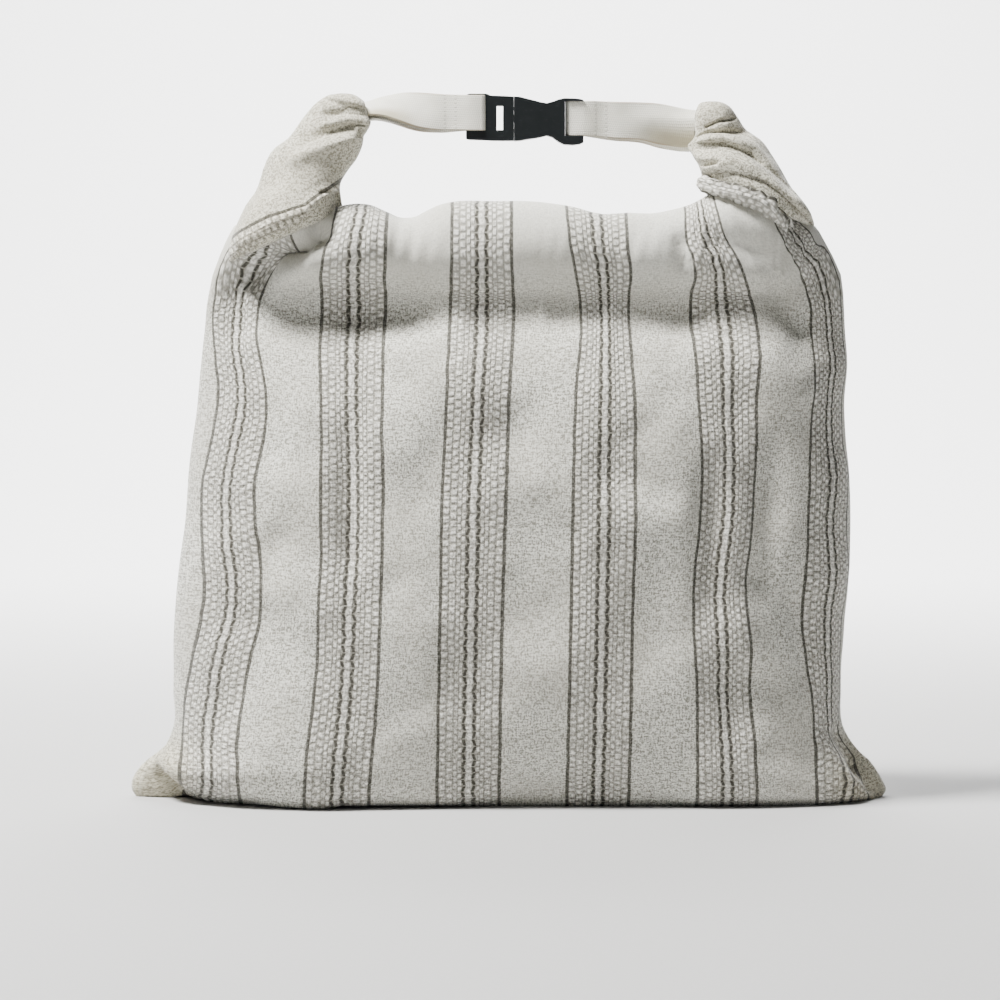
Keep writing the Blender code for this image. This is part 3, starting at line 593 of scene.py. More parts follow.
def linen_group():
    """The striped linen: plain weave, honeycomb bands, dark lines and broken zigzag lines.

    Place is in millimetres: x across the cut, y along the cloth.  Striped is 0 where the cloth is
    plain whatever its place says.  Taut_and_lit goes to 1 where the weave is drawn smooth and the cloth
    is painted lighter as a highlight.
    """
    group = bpy.data.node_groups.new("striped_linen", "ShaderNodeTree")
    for way, sockets in (
            ("INPUT", (("Place", "Vector"), ("Grain", "Vector"), ("Striped", "Float"), ("Taut_and_lit", "Float"))),
            ("OUTPUT", (("Color", "Color"), ("Roughness", "Float"), ("Height", "Float")))):
        for name, kind in sockets:
            group.interface.new_socket(name, in_out=way, socket_type="NodeSocket" + kind)
    entry = group.nodes.new("NodeGroupInput")
    place, striped = entry.outputs["Place"], entry.outputs["Striped"]
    result = group.nodes.new("NodeGroupOutput")
    x, y, _ = parts_of(group, place)

    def do(operation, *values):
        """One Math node of the group."""
        return calc(group, operation, *values)

    # The place within one group of stripes: from -34.5 to 34.5, with 0 at its middle.
    wander = do("MULTIPLY", do("SUBTRACT", noise(group, place, 0.09), 0.5), 1.1)
    folded = do("PINGPONG", do("ADD", x, wander), CUT_WIDTH)
    shifted = do("SUBTRACT", folded, STRIPE_FIRST)
    number = do("ROUND", do("DIVIDE", shifted, STRIPE_PITCH))
    across = do("SUBTRACT", shifted, do("MULTIPLY", number, STRIPE_PITCH))
    away = do("ABSOLUTE", across)

    def band(value, centre, half, soft):
        """1 near the centre, 0 beyond it by more than half."""
        return ramp(group, do("ABSOLUTE", do("SUBTRACT", value, centre)), half - soft, half + soft, 1.0, 0.0)

    # Plain weave: slubs of both thread directions and a fine check.
    threads = entry.outputs["Grain"]
    warp = noise(group, stretched(group, threads, (1.15, 0.32, 1.0)), 1.0, 1.0, 0.6)
    weft = noise(group, stretched(group, threads, (0.26, 1.10, 1.0)), 1.0, 1.0, 0.6)
    grain = noise(group, threads, 0.95, 1.0, 0.7)
    check = do("MULTIPLY", *(do("SINE", do("MULTIPLY", way, 2 * math.pi / THREAD_PITCH)) for way in (x, y)))
    weave = do("ADD", do("MULTIPLY", do("ADD", warp, weft), 0.30), do("MULTIPLY", grain, 0.40))
    weave = do("ADD", weave, do("MULTIPLY", check, 0.035))
    # Where taut and lit, the weave is pulled smooth towards a light middle tone: the smooth cloth, plus a
    # painted highlight.
    taut_and_lit = entry.outputs["Taut_and_lit"]
    weave = do("ADD", weave, do("MULTIPLY", taut_and_lit, do("MULTIPLY", do("SUBTRACT", 0.53, weave), 0.8)))

    # Honeycomb bands: two narrow columns of cells beside the middle, two wide ones outside them.
    narrow = do("LESS_THAN", away, 8.1)
    narrow_place = do("DIVIDE", do("SUBTRACT", away, 3.6), 2.25)
    wide_place = do("DIVIDE", do("SUBTRACT", away, 8.1), 3.8)
    cell = do("ADD", do("MULTIPLY", narrow_place, narrow),
              do("MULTIPLY", wide_place, do("SUBTRACT", 1.0, narrow)))
    uneven = do("MULTIPLY", do("SUBTRACT", noise(group, place, 0.35), 0.5), 1.3)
    odd = do("MULTIPLY", do("FLOORED_MODULO", do("FLOOR", cell), 2.0), 0.5)
    in_column = do("PINGPONG", cell, 0.5)
    row = do("DIVIDE", do("ADD", y, uneven), CELL_RISE)
    in_row = do("PINGPONG", do("ADD", row, odd), 0.5)
    cells = do("MULTIPLY", ramp(group, in_column, 0.0, 0.26), ramp(group, in_row, 0.04, 0.30))
    centre_row = do("PINGPONG", do("ADD", row, 0.25), 0.5)
    centre_cells = do("MULTIPLY", band(away, 0.0, 1.5, 0.6), ramp(group, centre_row, 0.0, 0.3, 0.45, 1.0))
    in_bands = do("MULTIPLY", ramp(group, away, 3.3, 3.9), ramp(group, away, 15.4, 15.9, 1.0, 0.0))
    in_group = ramp(group, away, 15.6, 16.2, 1.0, 0.0)
    cells = do("ADD", do("MULTIPLY", cells, in_bands), centre_cells)

    # Dark threads: the two bounding lines and the two broken zigzags.
    bounding = band(away, STRIPE_HALF - 0.1, 0.88, 0.3)
    zigzag = do("MULTIPLY", do("SUBTRACT", do("PINGPONG", y, CELL_RISE), CELL_RISE / 2), 0.30)
    dashes = ramp(group, do("PINGPONG", y, CELL_RISE / 2), 0.12, 0.55)
    near_middle = do("ABSOLUTE", do("SUBTRACT", across, zigzag))
    broken = do("MULTIPLY", band(near_middle, 2.6, 0.82, 0.35), ramp(group, dashes, 0.0, 1.0, 0.25, 1.0))
    dark = do("MAXIMUM", do("MULTIPLY", bounding, 0.92), do("MULTIPLY", broken, 0.95))
    dark = do("MULTIPLY", dark, ramp(group, noise(group, place, 0.6), 0.3, 0.6, 0.8, 1.0))
    dark = do("MULTIPLY", dark, striped)

    # The side seams: a line of stitches just beside each.
    seam_away = do("MINIMUM", folded, do("SUBTRACT", CUT_WIDTH, folded))
    stitch = do("MULTIPLY", band(seam_away, 3.0, 0.45, 0.2), ramp(group, do("PINGPONG", y, 1.5), 0.25, 0.5))
    stitch = do("MULTIPLY", stitch, striped)

    # Colour: undyed linen, whiter cotton cells with grey hollows, olive-black threads.
    tint = noise(group, threads, 0.016, 2.0)
    plain = mixed(group, ramp(group, weave, 0.41, 0.58), (0.215, 0.208, 0.174), (0.745, 0.738, 0.672))
    plain = mixed(group, ramp(group, tint, 0.35, 0.7, 0.0, 0.35), plain, (0.45, 0.425, 0.36))
    hollow = mixed(group, ramp(group, weave, 0.40, 0.60), (0.10, 0.093, 0.074), (0.31, 0.298, 0.25))
    raised = mixed(group, ramp(group, weave, 0.42, 0.58), (0.47, 0.457, 0.412), (0.93, 0.912, 0.85))
    worn = ramp(group, noise(group, place, 0.5, 1.0), 0.36, 0.58, 0.25, 1.0)
    banded = mixed(group, do("MULTIPLY", cells, worn), hollow, raised)
    banded = mixed(group, 0.15, banded, raised)
    cloth = mixed(group, do("MULTIPLY", in_group, striped), plain, banded)
    thread = mixed(group, weave, (0.010, 0.009, 0.006), (0.045, 0.041, 0.030))
    cloth = mixed(group, do("MULTIPLY", stitch, 0.6), cloth, (0.72, 0.71, 0.66))
    group.links.new(mixed(group, dark, cloth, thread), result.inputs["Color"])
    group.links.new(ramp(group, weave, 0.3, 0.7, 0.96, 0.86), result.inputs["Roughness"])
    relief = do("SUBTRACT", do("MULTIPLY", cells, 0.62), do("MULTIPLY", dark, 0.10))
    height = do("ADD", do("MULTIPLY", weave, 0.55), do("MULTIPLY", relief, striped))
    height = do("ADD", height, do("MULTIPLY", stitch, 0.5))
    group.links.new(height, result.inputs["Height"])
    return group


def in_mm(tree, vector):
    """A vector brought from metres to millimetres."""
    return stretched(tree, vector, (1.0 / MM,) * 3)


def cloth_place(tree):
    """The place on the piece's own cloth map, in millimetres."""
    own = tree.nodes.new("ShaderNodeUVMap")
    own.uv_map = "cloth"
    return in_mm(tree, own.outputs["UV"])


def linen_finish(name, group, grain=None, painted_khaki_shade=None):
    """The linen on the piece's own cloth map, with the sheen of its loose fibres.

    grain names other coordinates for the fine weave where the map is stretched.  painted_khaki_shade says how
    much khaki is painted over the linen as shade.  Without it that khaki is painted as shade only on the
    corners at the floor, and the weave is drawn smooth, and painted lighter as a highlight, over the roll.
    """
    finish, tree, shader = new_finish(name, Sheen_Weight=0.25, Sheen_Roughness=0.5, Specular_IOR_Level=0.25)
    linen = tree.nodes.new("ShaderNodeGroup")
    linen.node_tree = group
    place = cloth_place(tree)
    tree.links.new(place, linen.inputs["Place"])
    tree.links.new(in_mm(tree, coordinates(tree, grain)) if grain else place, linen.inputs["Grain"])
    striped = tree.nodes.new("ShaderNodeAttribute")
    striped.attribute_name = "striped"
    tree.links.new(striped.outputs["Fac"], linen.inputs["Striped"])
    if painted_khaki_shade is None:
        x, _, z = parts_of(tree, coordinates(tree, "Object"))
        # The top of the roll: weave drawn smooth, and painted lighter as a highlight on the side facing up.
        tree.links.new(ramp(tree, z, 0.255, 0.290), linen.inputs["Taut_and_lit"])
        # Khaki painted as shade on the outer corners near the floor.
        outer = ramp(tree, calc(tree, "ABSOLUTE", x), 0.160, 0.186, 0.0, 0.62)
        painted_khaki_shade = calc(tree, "MULTIPLY", outer, ramp(tree, z, 0.022, 0.048, 1.0, 0.0))
    # The khaki, painted as shade, is multiplied over the linen's colour.
    colour = mixed(tree, painted_khaki_shade, linen.outputs["Color"], (0.80, 0.74, 0.56), "MULTIPLY")
    tree.links.new(colour, shader.inputs["Base Color"])
    tree.links.new(linen.outputs["Roughness"], shader.inputs["Roughness"])
    bumped(tree, shader, linen.outputs["Height"], 0.00075, 0.85)
    return finish


linen_pattern = linen_group()
linen = linen_finish("linen", linen_pattern)

share = np.linspace(0.0, 1.0, POUCH_COLUMNS + 1)
cut = CUT_WIDTH * (share - 0.05 * np.sin(2 * math.pi * share))
levels = np.concatenate((FLOOR_ROWS, np.arange(FLOOR_ROWS[-1] + WALL_STEP, WALL_TOP, WALL_STEP)))
to_seam = np.minimum(cut, CUT_WIDTH - cut)
groove = SEAM_GROOVE * np.exp(-(to_seam / SEAM_REACH) ** 2) * np.sign(CUT_WIDTH / 2 - cut)
walls = {side: wall_rows(levels, side, cut, side == "front") for side in ("front", "back")}
over = roll_rows(np.radians(ROLL_ANGLES), cut)
shoulders = {side: [shoulder_row(step, side, cut, side == "front") for step in (0.5, 1.0)] for side in walls}
over_top = np.concatenate((walls["front"][-3:], shoulders["front"], over))
crease = over[-2] + np.array((0.0, 1.2, -1.0))
back_top = np.concatenate((walls["back"][-3:], shoulders["back"]))
between = back_top[-1] + (crease - back_top[-1]) * np.array((0.33, 0.66))[:, None, None]
between[..., 2] += 2.2
back_top = np.concatenate((back_top, between, crease[None]))
panels = {}
for side, top, step in (("front", over_top, 2.9), ("back", back_top, 3.2)):
    panel = np.concatenate((walls[side][:-3], resampled(top, step)))
    outward = normals_of(panel) * (1.0 if side == "front" else -1.0)
    near_floor = np.clip((45.0 - panel[..., 2]) / 20.0, 0.0, 1.0)
    hold = np.clip(to_seam / (25.0 - 17.0 * near_floor), 0.0, 1.0)
    hold = hold * np.clip(panel[..., 2] / 4.0, 0.0, 1.0)
    panel = panel - outward * (wall_relief(panel, side) * hold)[..., None]
    panel[..., 0] += groove
    panel[..., 2] = np.maximum(panel[..., 2], 0.0)
    panels[side] = panel

floor_share = np.linspace(0.0, 1.0, 13)[1:-1, None, None]
floor_rows = panels["front"][0] * (1.0 - floor_share) + panels["back"][0] * floor_share
pouch_points = np.concatenate((panels["front"][::-1], floor_rows, panels["back"]))[::-1]
notch = np.exp(-((pouch_points[..., 0] - NOTCH_X) / NOTCH_HALF_X) ** 2
               - ((pouch_points[..., 1] - NOTCH_Y) / NOTCH_HALF_Y) ** 2)
pouch_points[..., 2] = np.maximum(pouch_points[..., 2], NOTCH_RISE * notch)
run = np.linalg.norm(np.diff(pouch_points, axis=0), axis=2).mean(axis=1)
along = np.concatenate(([0.0], np.cumsum(run)))
pouch_uv = np.stack(np.meshgrid(cut, along), axis=-1)
pouch = grid_piece("cloth_pouch", pouch_points, pouch_uv, linen, POUCH_CLOTH, merge=True,
                   striped=np.ones(pouch_points.shape[:2]))
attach(pouch, "root")
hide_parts("bag")


# ---------------------------------------------------------------- the rolled ends
# The mouth's roll leaves the shoulders and turns up and inward as two twisted stems.  Each is the
# same linen wound nearly twice round itself, with its loose edge running along the stem.
LEFT_RINGS = (
    # outer x, outer z, inner x, inner z, half depth: where each section meets the two outlines
    (-154, 286, -87.5, 316, 27),
    (-150, 302.4, -88.5, 323.4, 29),
    (-143.2, 317.4, -89, 330.4, 27),
    (-136.2, 327.1, -85.7, 336.8, 24),
    (-131.4, 339, -80.9, 343.3, 20.5),
    (-126, 348.1, -77.6, 350.3, 19),
    (-117.4, 355.1, -76, 355, 17.5),
    (-111, 364.8, -74.6, 356.6, 15.5),
    (-104, 373.5, -73.9, 358.2, 13.5),
    (-96.4, 378.6, -73.4, 360, 12),
    (-86.8, 378.6, -73.9, 361.8, 10.5),
    (-79.3, 376.2, -75.5, 363.5, 8.5),
)
RIGHT_RINGS = (
    (165.2, 304.5, 99.7, 331.5, 26),
    (158.2, 317.4, 98.6, 336.8, 27),
    (150.2, 327.7, 97, 341, 25),
    (143.7, 337.9, 94.8, 344.9, 22),
    (137.8, 346, 92.7, 348, 19),
    (131.9, 353, 91.8, 350.3, 17.5),
    (123.8, 358.9, 92.1, 351.4, 15.5),
    (120.1, 365.4, 93.8, 352.4, 14),
    (115.8, 371.8, 95.4, 353.5, 12.5),
    (108.8, 375.1, 96.4, 354.6, 11.5),
    (101.3, 374, 97, 356, 10),
    (98.1, 370.2, 97.5, 358.3, 8),
)
STEM_Y = -15.0
STEM_ROWS = 130
STEM_COLUMNS = 280
STEM_TURNS = 1.85
STEM_LAYER = 2.6           # between two turns
STEM_CLOTH = 1.0
# Folds of the side that faces front: lines across it, with how far the cloth is drawn in there.
LEFT_CREASES = (
    # points (x, z) of the line, width above it, width below it, depth
    (((-128, 300.5), (-117.4, 306.1), (-111, 309.9), (-102.9, 318), (-94.8, 323.9), (-88, 328)),
     0.9, 13, 9),
    (((-142, 299), (-127, 306.5), (-108, 314.5), (-93, 327)), 5, 3.5, -2.6),
    (((-112, 350), (-99, 355.6), (-84, 359.4)), 4.5, 1.8, 3.6),
    (((-115, 343.4), (-100, 349.2), (-85, 353.2)), 2.4, 5, -2.2),
    (((-98, 366.2), (-88, 367.6), (-74, 366.6)), 3.6, 1.6, 3.2),
    (((-99, 361), (-88, 363), (-76, 362.6)), 2, 2.4, -1.6),
    (((-98.5, 374.5), (-88, 372), (-78, 368.5)), 1.2, 2.6, 1.8),
    (((-101, 324.6), (-90, 326)), 1.2, 1.2, 1.6),
    (((-128, 331), (-112, 326), (-98, 331)), 9, 9, 1.2),
    (((-124, 347), (-121, 338), (-128, 326)), 3, 3, 1),
)
RIGHT_CREASES = (
    (((97, 334.9), (117.4, 333.9), (131.9, 330.2), (138.9, 326), (149.6, 317), (164.7, 305.4)),
     1, 4, 9),
    (((98, 342), (118, 341), (133, 337), (146, 327), (158, 315.5)), 3.5, 4.5, -3.2),
    (((95, 350.6), (112, 351.6), (125.5, 346.2), (138.9, 335.4), (147, 327.3)), 1, 3.6, 3.2),
    (((99, 354.2), (113, 355), (128, 349.6), (142, 338)), 2.2, 2.4, -1.6),
    (((95, 352.8), (104, 356.6), (113, 357.6), (124, 357.2)), 1.4, 1.4, 3.4),
    (((99, 340.6), (103, 339.4), (108.5, 340.2)), 2.6, 1, 3),
    (((112, 344.6), (121, 345.6), (128, 341)), 2.2, 2.2, -1.2),
    (((103.4, 360), (110, 363.2), (118, 364.8)), 0.8, 1, 2.6),
    (((100.5, 327), (112, 324.8), (122, 322)), 1.2, 2, 1.5),
)


def along_line(x, z, line):
    """Distance above (+) or below (-) a line of points that runs from left to right, and along it."""
    best = np.full(x.shape, 1e6)
    signed, along = np.zeros_like(x), np.zeros_like(x)
    total = 0.0
    for (x0, z0), (x1, z1) in zip(line[:-1], line[1:]):
        run = np.array((x1 - x0, z1 - z0))
        length = np.linalg.norm(run)
        t = ((x - x0) * run[0] + (z - z0) * run[1]) / length ** 2
        held = np.clip(t, 0.0, 1.0)
        away = np.hypot(x - x0 - held * run[0], z - z0 - held * run[1])
        above = np.sign(run[0] * (z - z0) - run[1] * (x - x0))
        nearer = away < best
        best = np.where(nearer, away, best)
        signed = np.where(nearer, away * above, signed)
        along = np.where(nearer, total + t * length, along)
        total += length
    return signed, along


def wound_stem(rings, creases):
    """A spiral sheet along the rings: points, place along, angle and depth in turns, half girth.

    A section is an ellipse between its two outline points; each turn inwards is one layer smaller,
    and the whole winding turns slowly from foot to tip.  Angle 0.5 to 1 is the side that faces front.
    """
    table = np.array(rings)
    s = np.linspace(0.0, 1.0, STEM_ROWS)
    read = hermite(np.linspace(0.0, 1.0, len(table)), table, s)
    outer, inner, deep = read[:, 0:2], read[:, 2:4], read[:, 4]
    middle, reach = (outer + inner) / 2, (outer - inner) / 2
    q = np.linspace(0.0, 1.0, STEM_COLUMNS)[None, :]
    wound = STEM_TURNS * (1.0 - q)
    angle = (0.28 + 0.16 * s[:, None] - wound) * 2 * math.pi
    half = np.linalg.norm(reach, axis=1)[:, None]
    rounded = np.sqrt(np.clip(1.0 - (1.0 - np.clip(s / 0.05, 0.0, 1.0)) ** 2, 0.0, 1.0))[:, None]
    rounded = 0.84 + 0.16 * rounded
    tip = 1.0 - 0.25 * np.clip((s[:, None] - 0.93) / 0.07, 0.0, 1.0) ** 2
    turn = np.mod(angle / (2 * math.pi), 1.0)
    bulge = np.abs(np.cos(angle)) ** 0.9 * np.sign(np.cos(angle))

    def laid(inset):
        """The points with the sheet this far inside the outermost ellipse."""
        wide = np.maximum(half * rounded * tip - inset, 2.0) / half
        thick = np.maximum(deep[:, None] * rounded * tip - inset, 1.6)
        return np.stack((middle[:, :1] + reach[:, :1] * wide * bulge,
                         STEM_Y + thick * np.sin(angle),
                         middle[:, 1:] + reach[:, 1:] * wide * bulge), axis=-1)

    smooth = laid(STEM_LAYER * wound)
    x, z = smooth[..., 0], smooth[..., 2]
    facing = np.clip(-np.sin(angle) * 1.6, 0.0, 1.0) * np.clip((1.0 - wound) * 8.0 + 1.0, 0.0, 1.0)
    dent = 0.4 * soft_waves(turn * 90.0, s[:, None] * 95.0 + 0 * x, 31, 24.0)
    dent = dent + 0.8 * soft_waves(turn * 90.0, s[:, None] * 40.0 + turn * 60.0, 33, 30.0) * (1.0 - facing)
    for line, above, below, depth in creases:
        away, _ = along_line(x, z, line)
        dent += facing * depth * np.exp(-(away / np.where(away > 0.0, above, below)) ** 2)
    half_girth = math.pi * np.sqrt((half ** 2 + deep[:, None] ** 2) / 2)
    return laid(STEM_LAYER * wound + dent), s[:, None] + 0 * q, turn, wound, half_girth


# Lines of the stripes on the front of the stems.
LEFT_THREAD = (
    (-158, 296), (-144.3, 304.5), (-129.8, 311.5), (-109.3, 318.5), (-91.1, 332), (-80, 341))
LEFT_LIP = LEFT_CREASES[0][0]
RIGHT_THREAD = ((92, 336), (117.4, 335), (133, 330.6), (150, 317), (166, 303))
BACK_PLACE = -17.5         # where the cloth's place starts on the side that faces back
STEM_LENGTH = 90.0
# The stems get khaki painted all over them as shade.
stem_linen = linen_finish("stem_linen", linen_pattern, "Object", 0.42)
for side, rings, creases, flat in (("left", LEFT_RINGS, LEFT_CREASES, (0.1, 0.24)),
                                   ("right", RIGHT_RINGS, RIGHT_CREASES, (0.1, 0.17))):
    points, along_stem, turn, wound, half_girth = wound_stem(rings, creases)
    x, z = points[..., 0], points[..., 2]
    on_front = (turn > 0.5) & (turn < 0.985) & (wound < 1.02)
    if side == "left":
        away, run = along_line(x, z, LEFT_THREAD)
        above_lip, _ = along_line(x, z, LEFT_LIP)
        striped = on_front & (away < 3.0) & ((above_lip > -0.4) | (x < -128.0))
        place = STRIPE_FIRST - STRIPE_HALF - away
    else:
        away, run = along_line(x, z, RIGHT_THREAD)
        striped = on_front & (away < 1.0)
        place = STRIPE_FIRST + 5 * STRIPE_PITCH - 8.0 - away
    # On the side that faces back the cloth shows the line of the back panel's first group.
    behind = turn < 0.5
    place = np.where(behind, BACK_PLACE - 2.0 * (0.5 - turn) * half_girth, place)
    run = np.where(behind, STEM_LENGTH * along_stem, run)
    striped = np.where((turn > 0.14) & (turn < 0.46) | striped, 1.0, 0.0)
    stem_uv = np.stack((place, run), axis=-1)
    if side == "left":
        points, stem_uv, striped = points[:, ::-1], stem_uv[:, ::-1], striped[:, ::-1]
    stem = grid_piece("rolled_end_" + side, points, stem_uv, stem_linen, STEM_CLOTH, striped=striped)
    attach(stem, "root")


# ---------------------------------------------------------------- the gathered strip
# Under the right rolled end the last striped group is drawn together: a soft strip of cloth that
# runs from the inner corner to a knot on the shoulder, and on down into the panel.
GATHERED = (
    # x, y, z, half height, half depth
    (99.5, -18, 331, 3.4, 7),
    (108.3, -23, 328.2, 5, 11),
    (120, -26, 325.2, 6.2, 14),
    (131.5, -27, 321.4, 6.8, 14),
    (138.5, -26, 316.2, 6.6, 12),
    (143.5, -22.5, 309, 5.6, 9),
    (147.5, -19, 301, 4.2, 6.5),
    (150.5, -15, 292, 2.6, 4),
)
GATHERED_ROWS = 90
GATHERED_SIDES = 72


def carried(table, rows, sides):
    """An ellipse carried along a path: its middle, its half height and half depth at each row.

    Gives the points, the distance along the path and the turn round it.
    """
    s = np.linspace(0.0, len(table) - 1.0, rows)
    read = hermite(np.arange(len(table)), np.array(table), s)
    middle = read[:, :3]
    way = np.gradient(middle, axis=0)
    way /= np.linalg.norm(way, axis=1)[:, None]
    deep = np.array((0.0, 1.0, 0.0)) - way * way[:, 1:2]
    deep /= np.linalg.norm(deep, axis=1)[:, None]
    wide = np.cross(deep, way)
    turn = np.arange(sides) / sides
    angle = 2 * math.pi * turn[None, :]
    shrink = np.sqrt(np.clip(1.0 - (np.abs(s / s[-1] * 2.0 - 1.0)) ** 14, 0.01, 1.0))[:, None]
    points = (middle[:, None] + wide[:, None] * (read[:, 3:4] * shrink * np.cos(angle))[..., None]
              + deep[:, None] * (read[:, 4:5] * shrink * np.sin(angle))[..., None])
    along = np.concatenate(([0.0], np.cumsum(np.linalg.norm(np.diff(middle, axis=0), axis=1))))
    return points, along[:, None] + 0 * angle, turn[None, :] + 0 * along[:, None]


points, along, turn = carried(GATHERED, GATHERED_ROWS, GATHERED_SIDES)
puckers = 0.55 * np.sin(2 * math.pi * (along / 6.0 + 0.6 * np.sin(turn * 12.0))) + 0.5 * soft_waves(
    along, turn * 50.0, 41, 9.0)
lengthwise = 0.9 * np.cos(2 * math.pi * turn * 7.0 + along / 11.0)
points = points + normals_of(points) * ((puckers + lengthwise) * 0.6)[..., None]
last_stripe = STRIPE_FIRST + 5 * STRIPE_PITCH
strip_uv = np.stack((last_stripe + 46.0 * (turn - 0.61), along), axis=-1)
strip = grid_piece("gathered_strip", points, strip_uv, linen, STEM_CLOTH, ring=True,
                   striped=np.ones(points.shape[:2]))
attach(strip, "root")


# ---------------------------------------------------------------- the straps
# Cream cotton webbing, doubled round the bar of the buckle and stitched to itself.  Its root is
# caught between the turns of the rolled end, and it turns over there.
WEBBING_THICK = 1.25
BAR_WIDE = 6.4             # from the edge of a bar to where the webbing starts to turn
LEFT_STRAP = (
    # x, y, z, width, turn in degrees, distance between the layers, cup of the lower edge
    (-88, -9, 367, 13, 62, 1.7, 0),
    (-78, -9, 369.5, 14, 60, 1.7, 0),
    (-70, -9, 371, 16, 52, 1.7, 0),
    (-60, -9, 370.6, 18.5, 36, 1.7, 0),
    (-50, -9, 369.4, 19.6, 18, 1.7, 0),
    (-41, -9, 368.7, 19.4, 5, 1.8, 0),
    (-34, -9, 368.5, 19, 0, 2.2, 0),
    (-28, -9, 368.4, 18.8, 0, 4.2, 0),
    (-23.4, -9, 368.2, 18.8, 0, 5.5, 0),
)
RIGHT_STRAP = (
    (106, -9, 364, 14, 48, 1.7, 6),
    (97, -9, 363.5, 15.5, 44, 1.7, 6),
    (88, -9, 363.4, 18, 34, 1.7, 5.5),
    (78, -9, 363.6, 19.6, 20, 1.7, 4),
    (68, -9, 364, 19.6, 8, 1.7, 1.5),
    (58, -9, 364.2, 19.6, 0, 1.8, 0),
    (49, -9, 364.8, 19, 0, 2.2, 0),
    (43, -9, 365.1, 18.8, 0, 4.2, 0),
    (38.4, -9, 365.1, 18.6, 0, 5.5, 0),
)
STRAP_ROWS = 110
STRAP_COLUMNS = 24
TURN_ROWS = 16
TACKS = (6.5, 12.4)        # distance of the two stitch rows from the end of the straight part


def strap_points(table, heading):
    """A flat band along the table: out on the front layer, half a circle round the bar, and back.

    A row's points are the middle plus across * width, turned about the strap's own length, plus
    half the distance between the layers.  The lower edge is cupped back by cup * (share below)^2.
    """
    s = np.linspace(0.0, len(table) - 1.0, STRAP_ROWS)
    read = hermite(np.arange(len(table)), np.array(table), s)
    end = read[-1]
    bend = np.linspace(0.0, math.pi, TURN_ROWS)[1:-1]
    round_bar = np.repeat(end[None], len(bend), axis=0)
    round_bar[:, 0] = end[0] + heading * (BAR_WIDE + end[5] / 2 * np.sin(bend))
    half = np.concatenate((-read[:, 5] / 2, -end[5] / 2 * np.cos(bend), read[::-1, 5] / 2))
    path = np.concatenate((read, round_bar, read[::-1]))
    across = np.linspace(-0.5, 0.5, STRAP_COLUMNS + 1)[None, :]
    angle = np.radians(path[:, 4:5])
    wide = across * path[:, 3:4]
    loose = np.clip(1.0 - np.arange(len(path)) / STRAP_ROWS, 0.0, 1.0) + np.clip(
        np.arange(len(path)) / STRAP_ROWS - 1.15, 0.0, 1.0)
    sag = np.where(np.arange(len(path)) < STRAP_ROWS, 0.0, -1.3) * np.clip(loose * 4.0, 0.0, 1.0)
    out = half[:, None] + path[:, 6:7] * np.clip(0.12 - across, 0.0, 1.0) ** 1.5 * 4.0
    out = out + 0.15 * soft_waves(path[:, 0:1] + 0 * across, wide, 51, 17.0)
    points = np.stack((path[:, 0:1] + 0 * wide,
                       path[:, 1:2] + out * np.cos(angle) + wide * np.sin(angle),
                       path[:, 2:3] + sag[:, None] - out * np.sin(angle) + wide * np.cos(angle)), axis=-1)
    run = np.concatenate(([0.0], np.cumsum(np.linalg.norm(np.diff(points.mean(axis=1), axis=0), axis=1))))
    return points, np.stack((wide, run[:, None] + 0 * wide), axis=-1), run[STRAP_ROWS - 1]


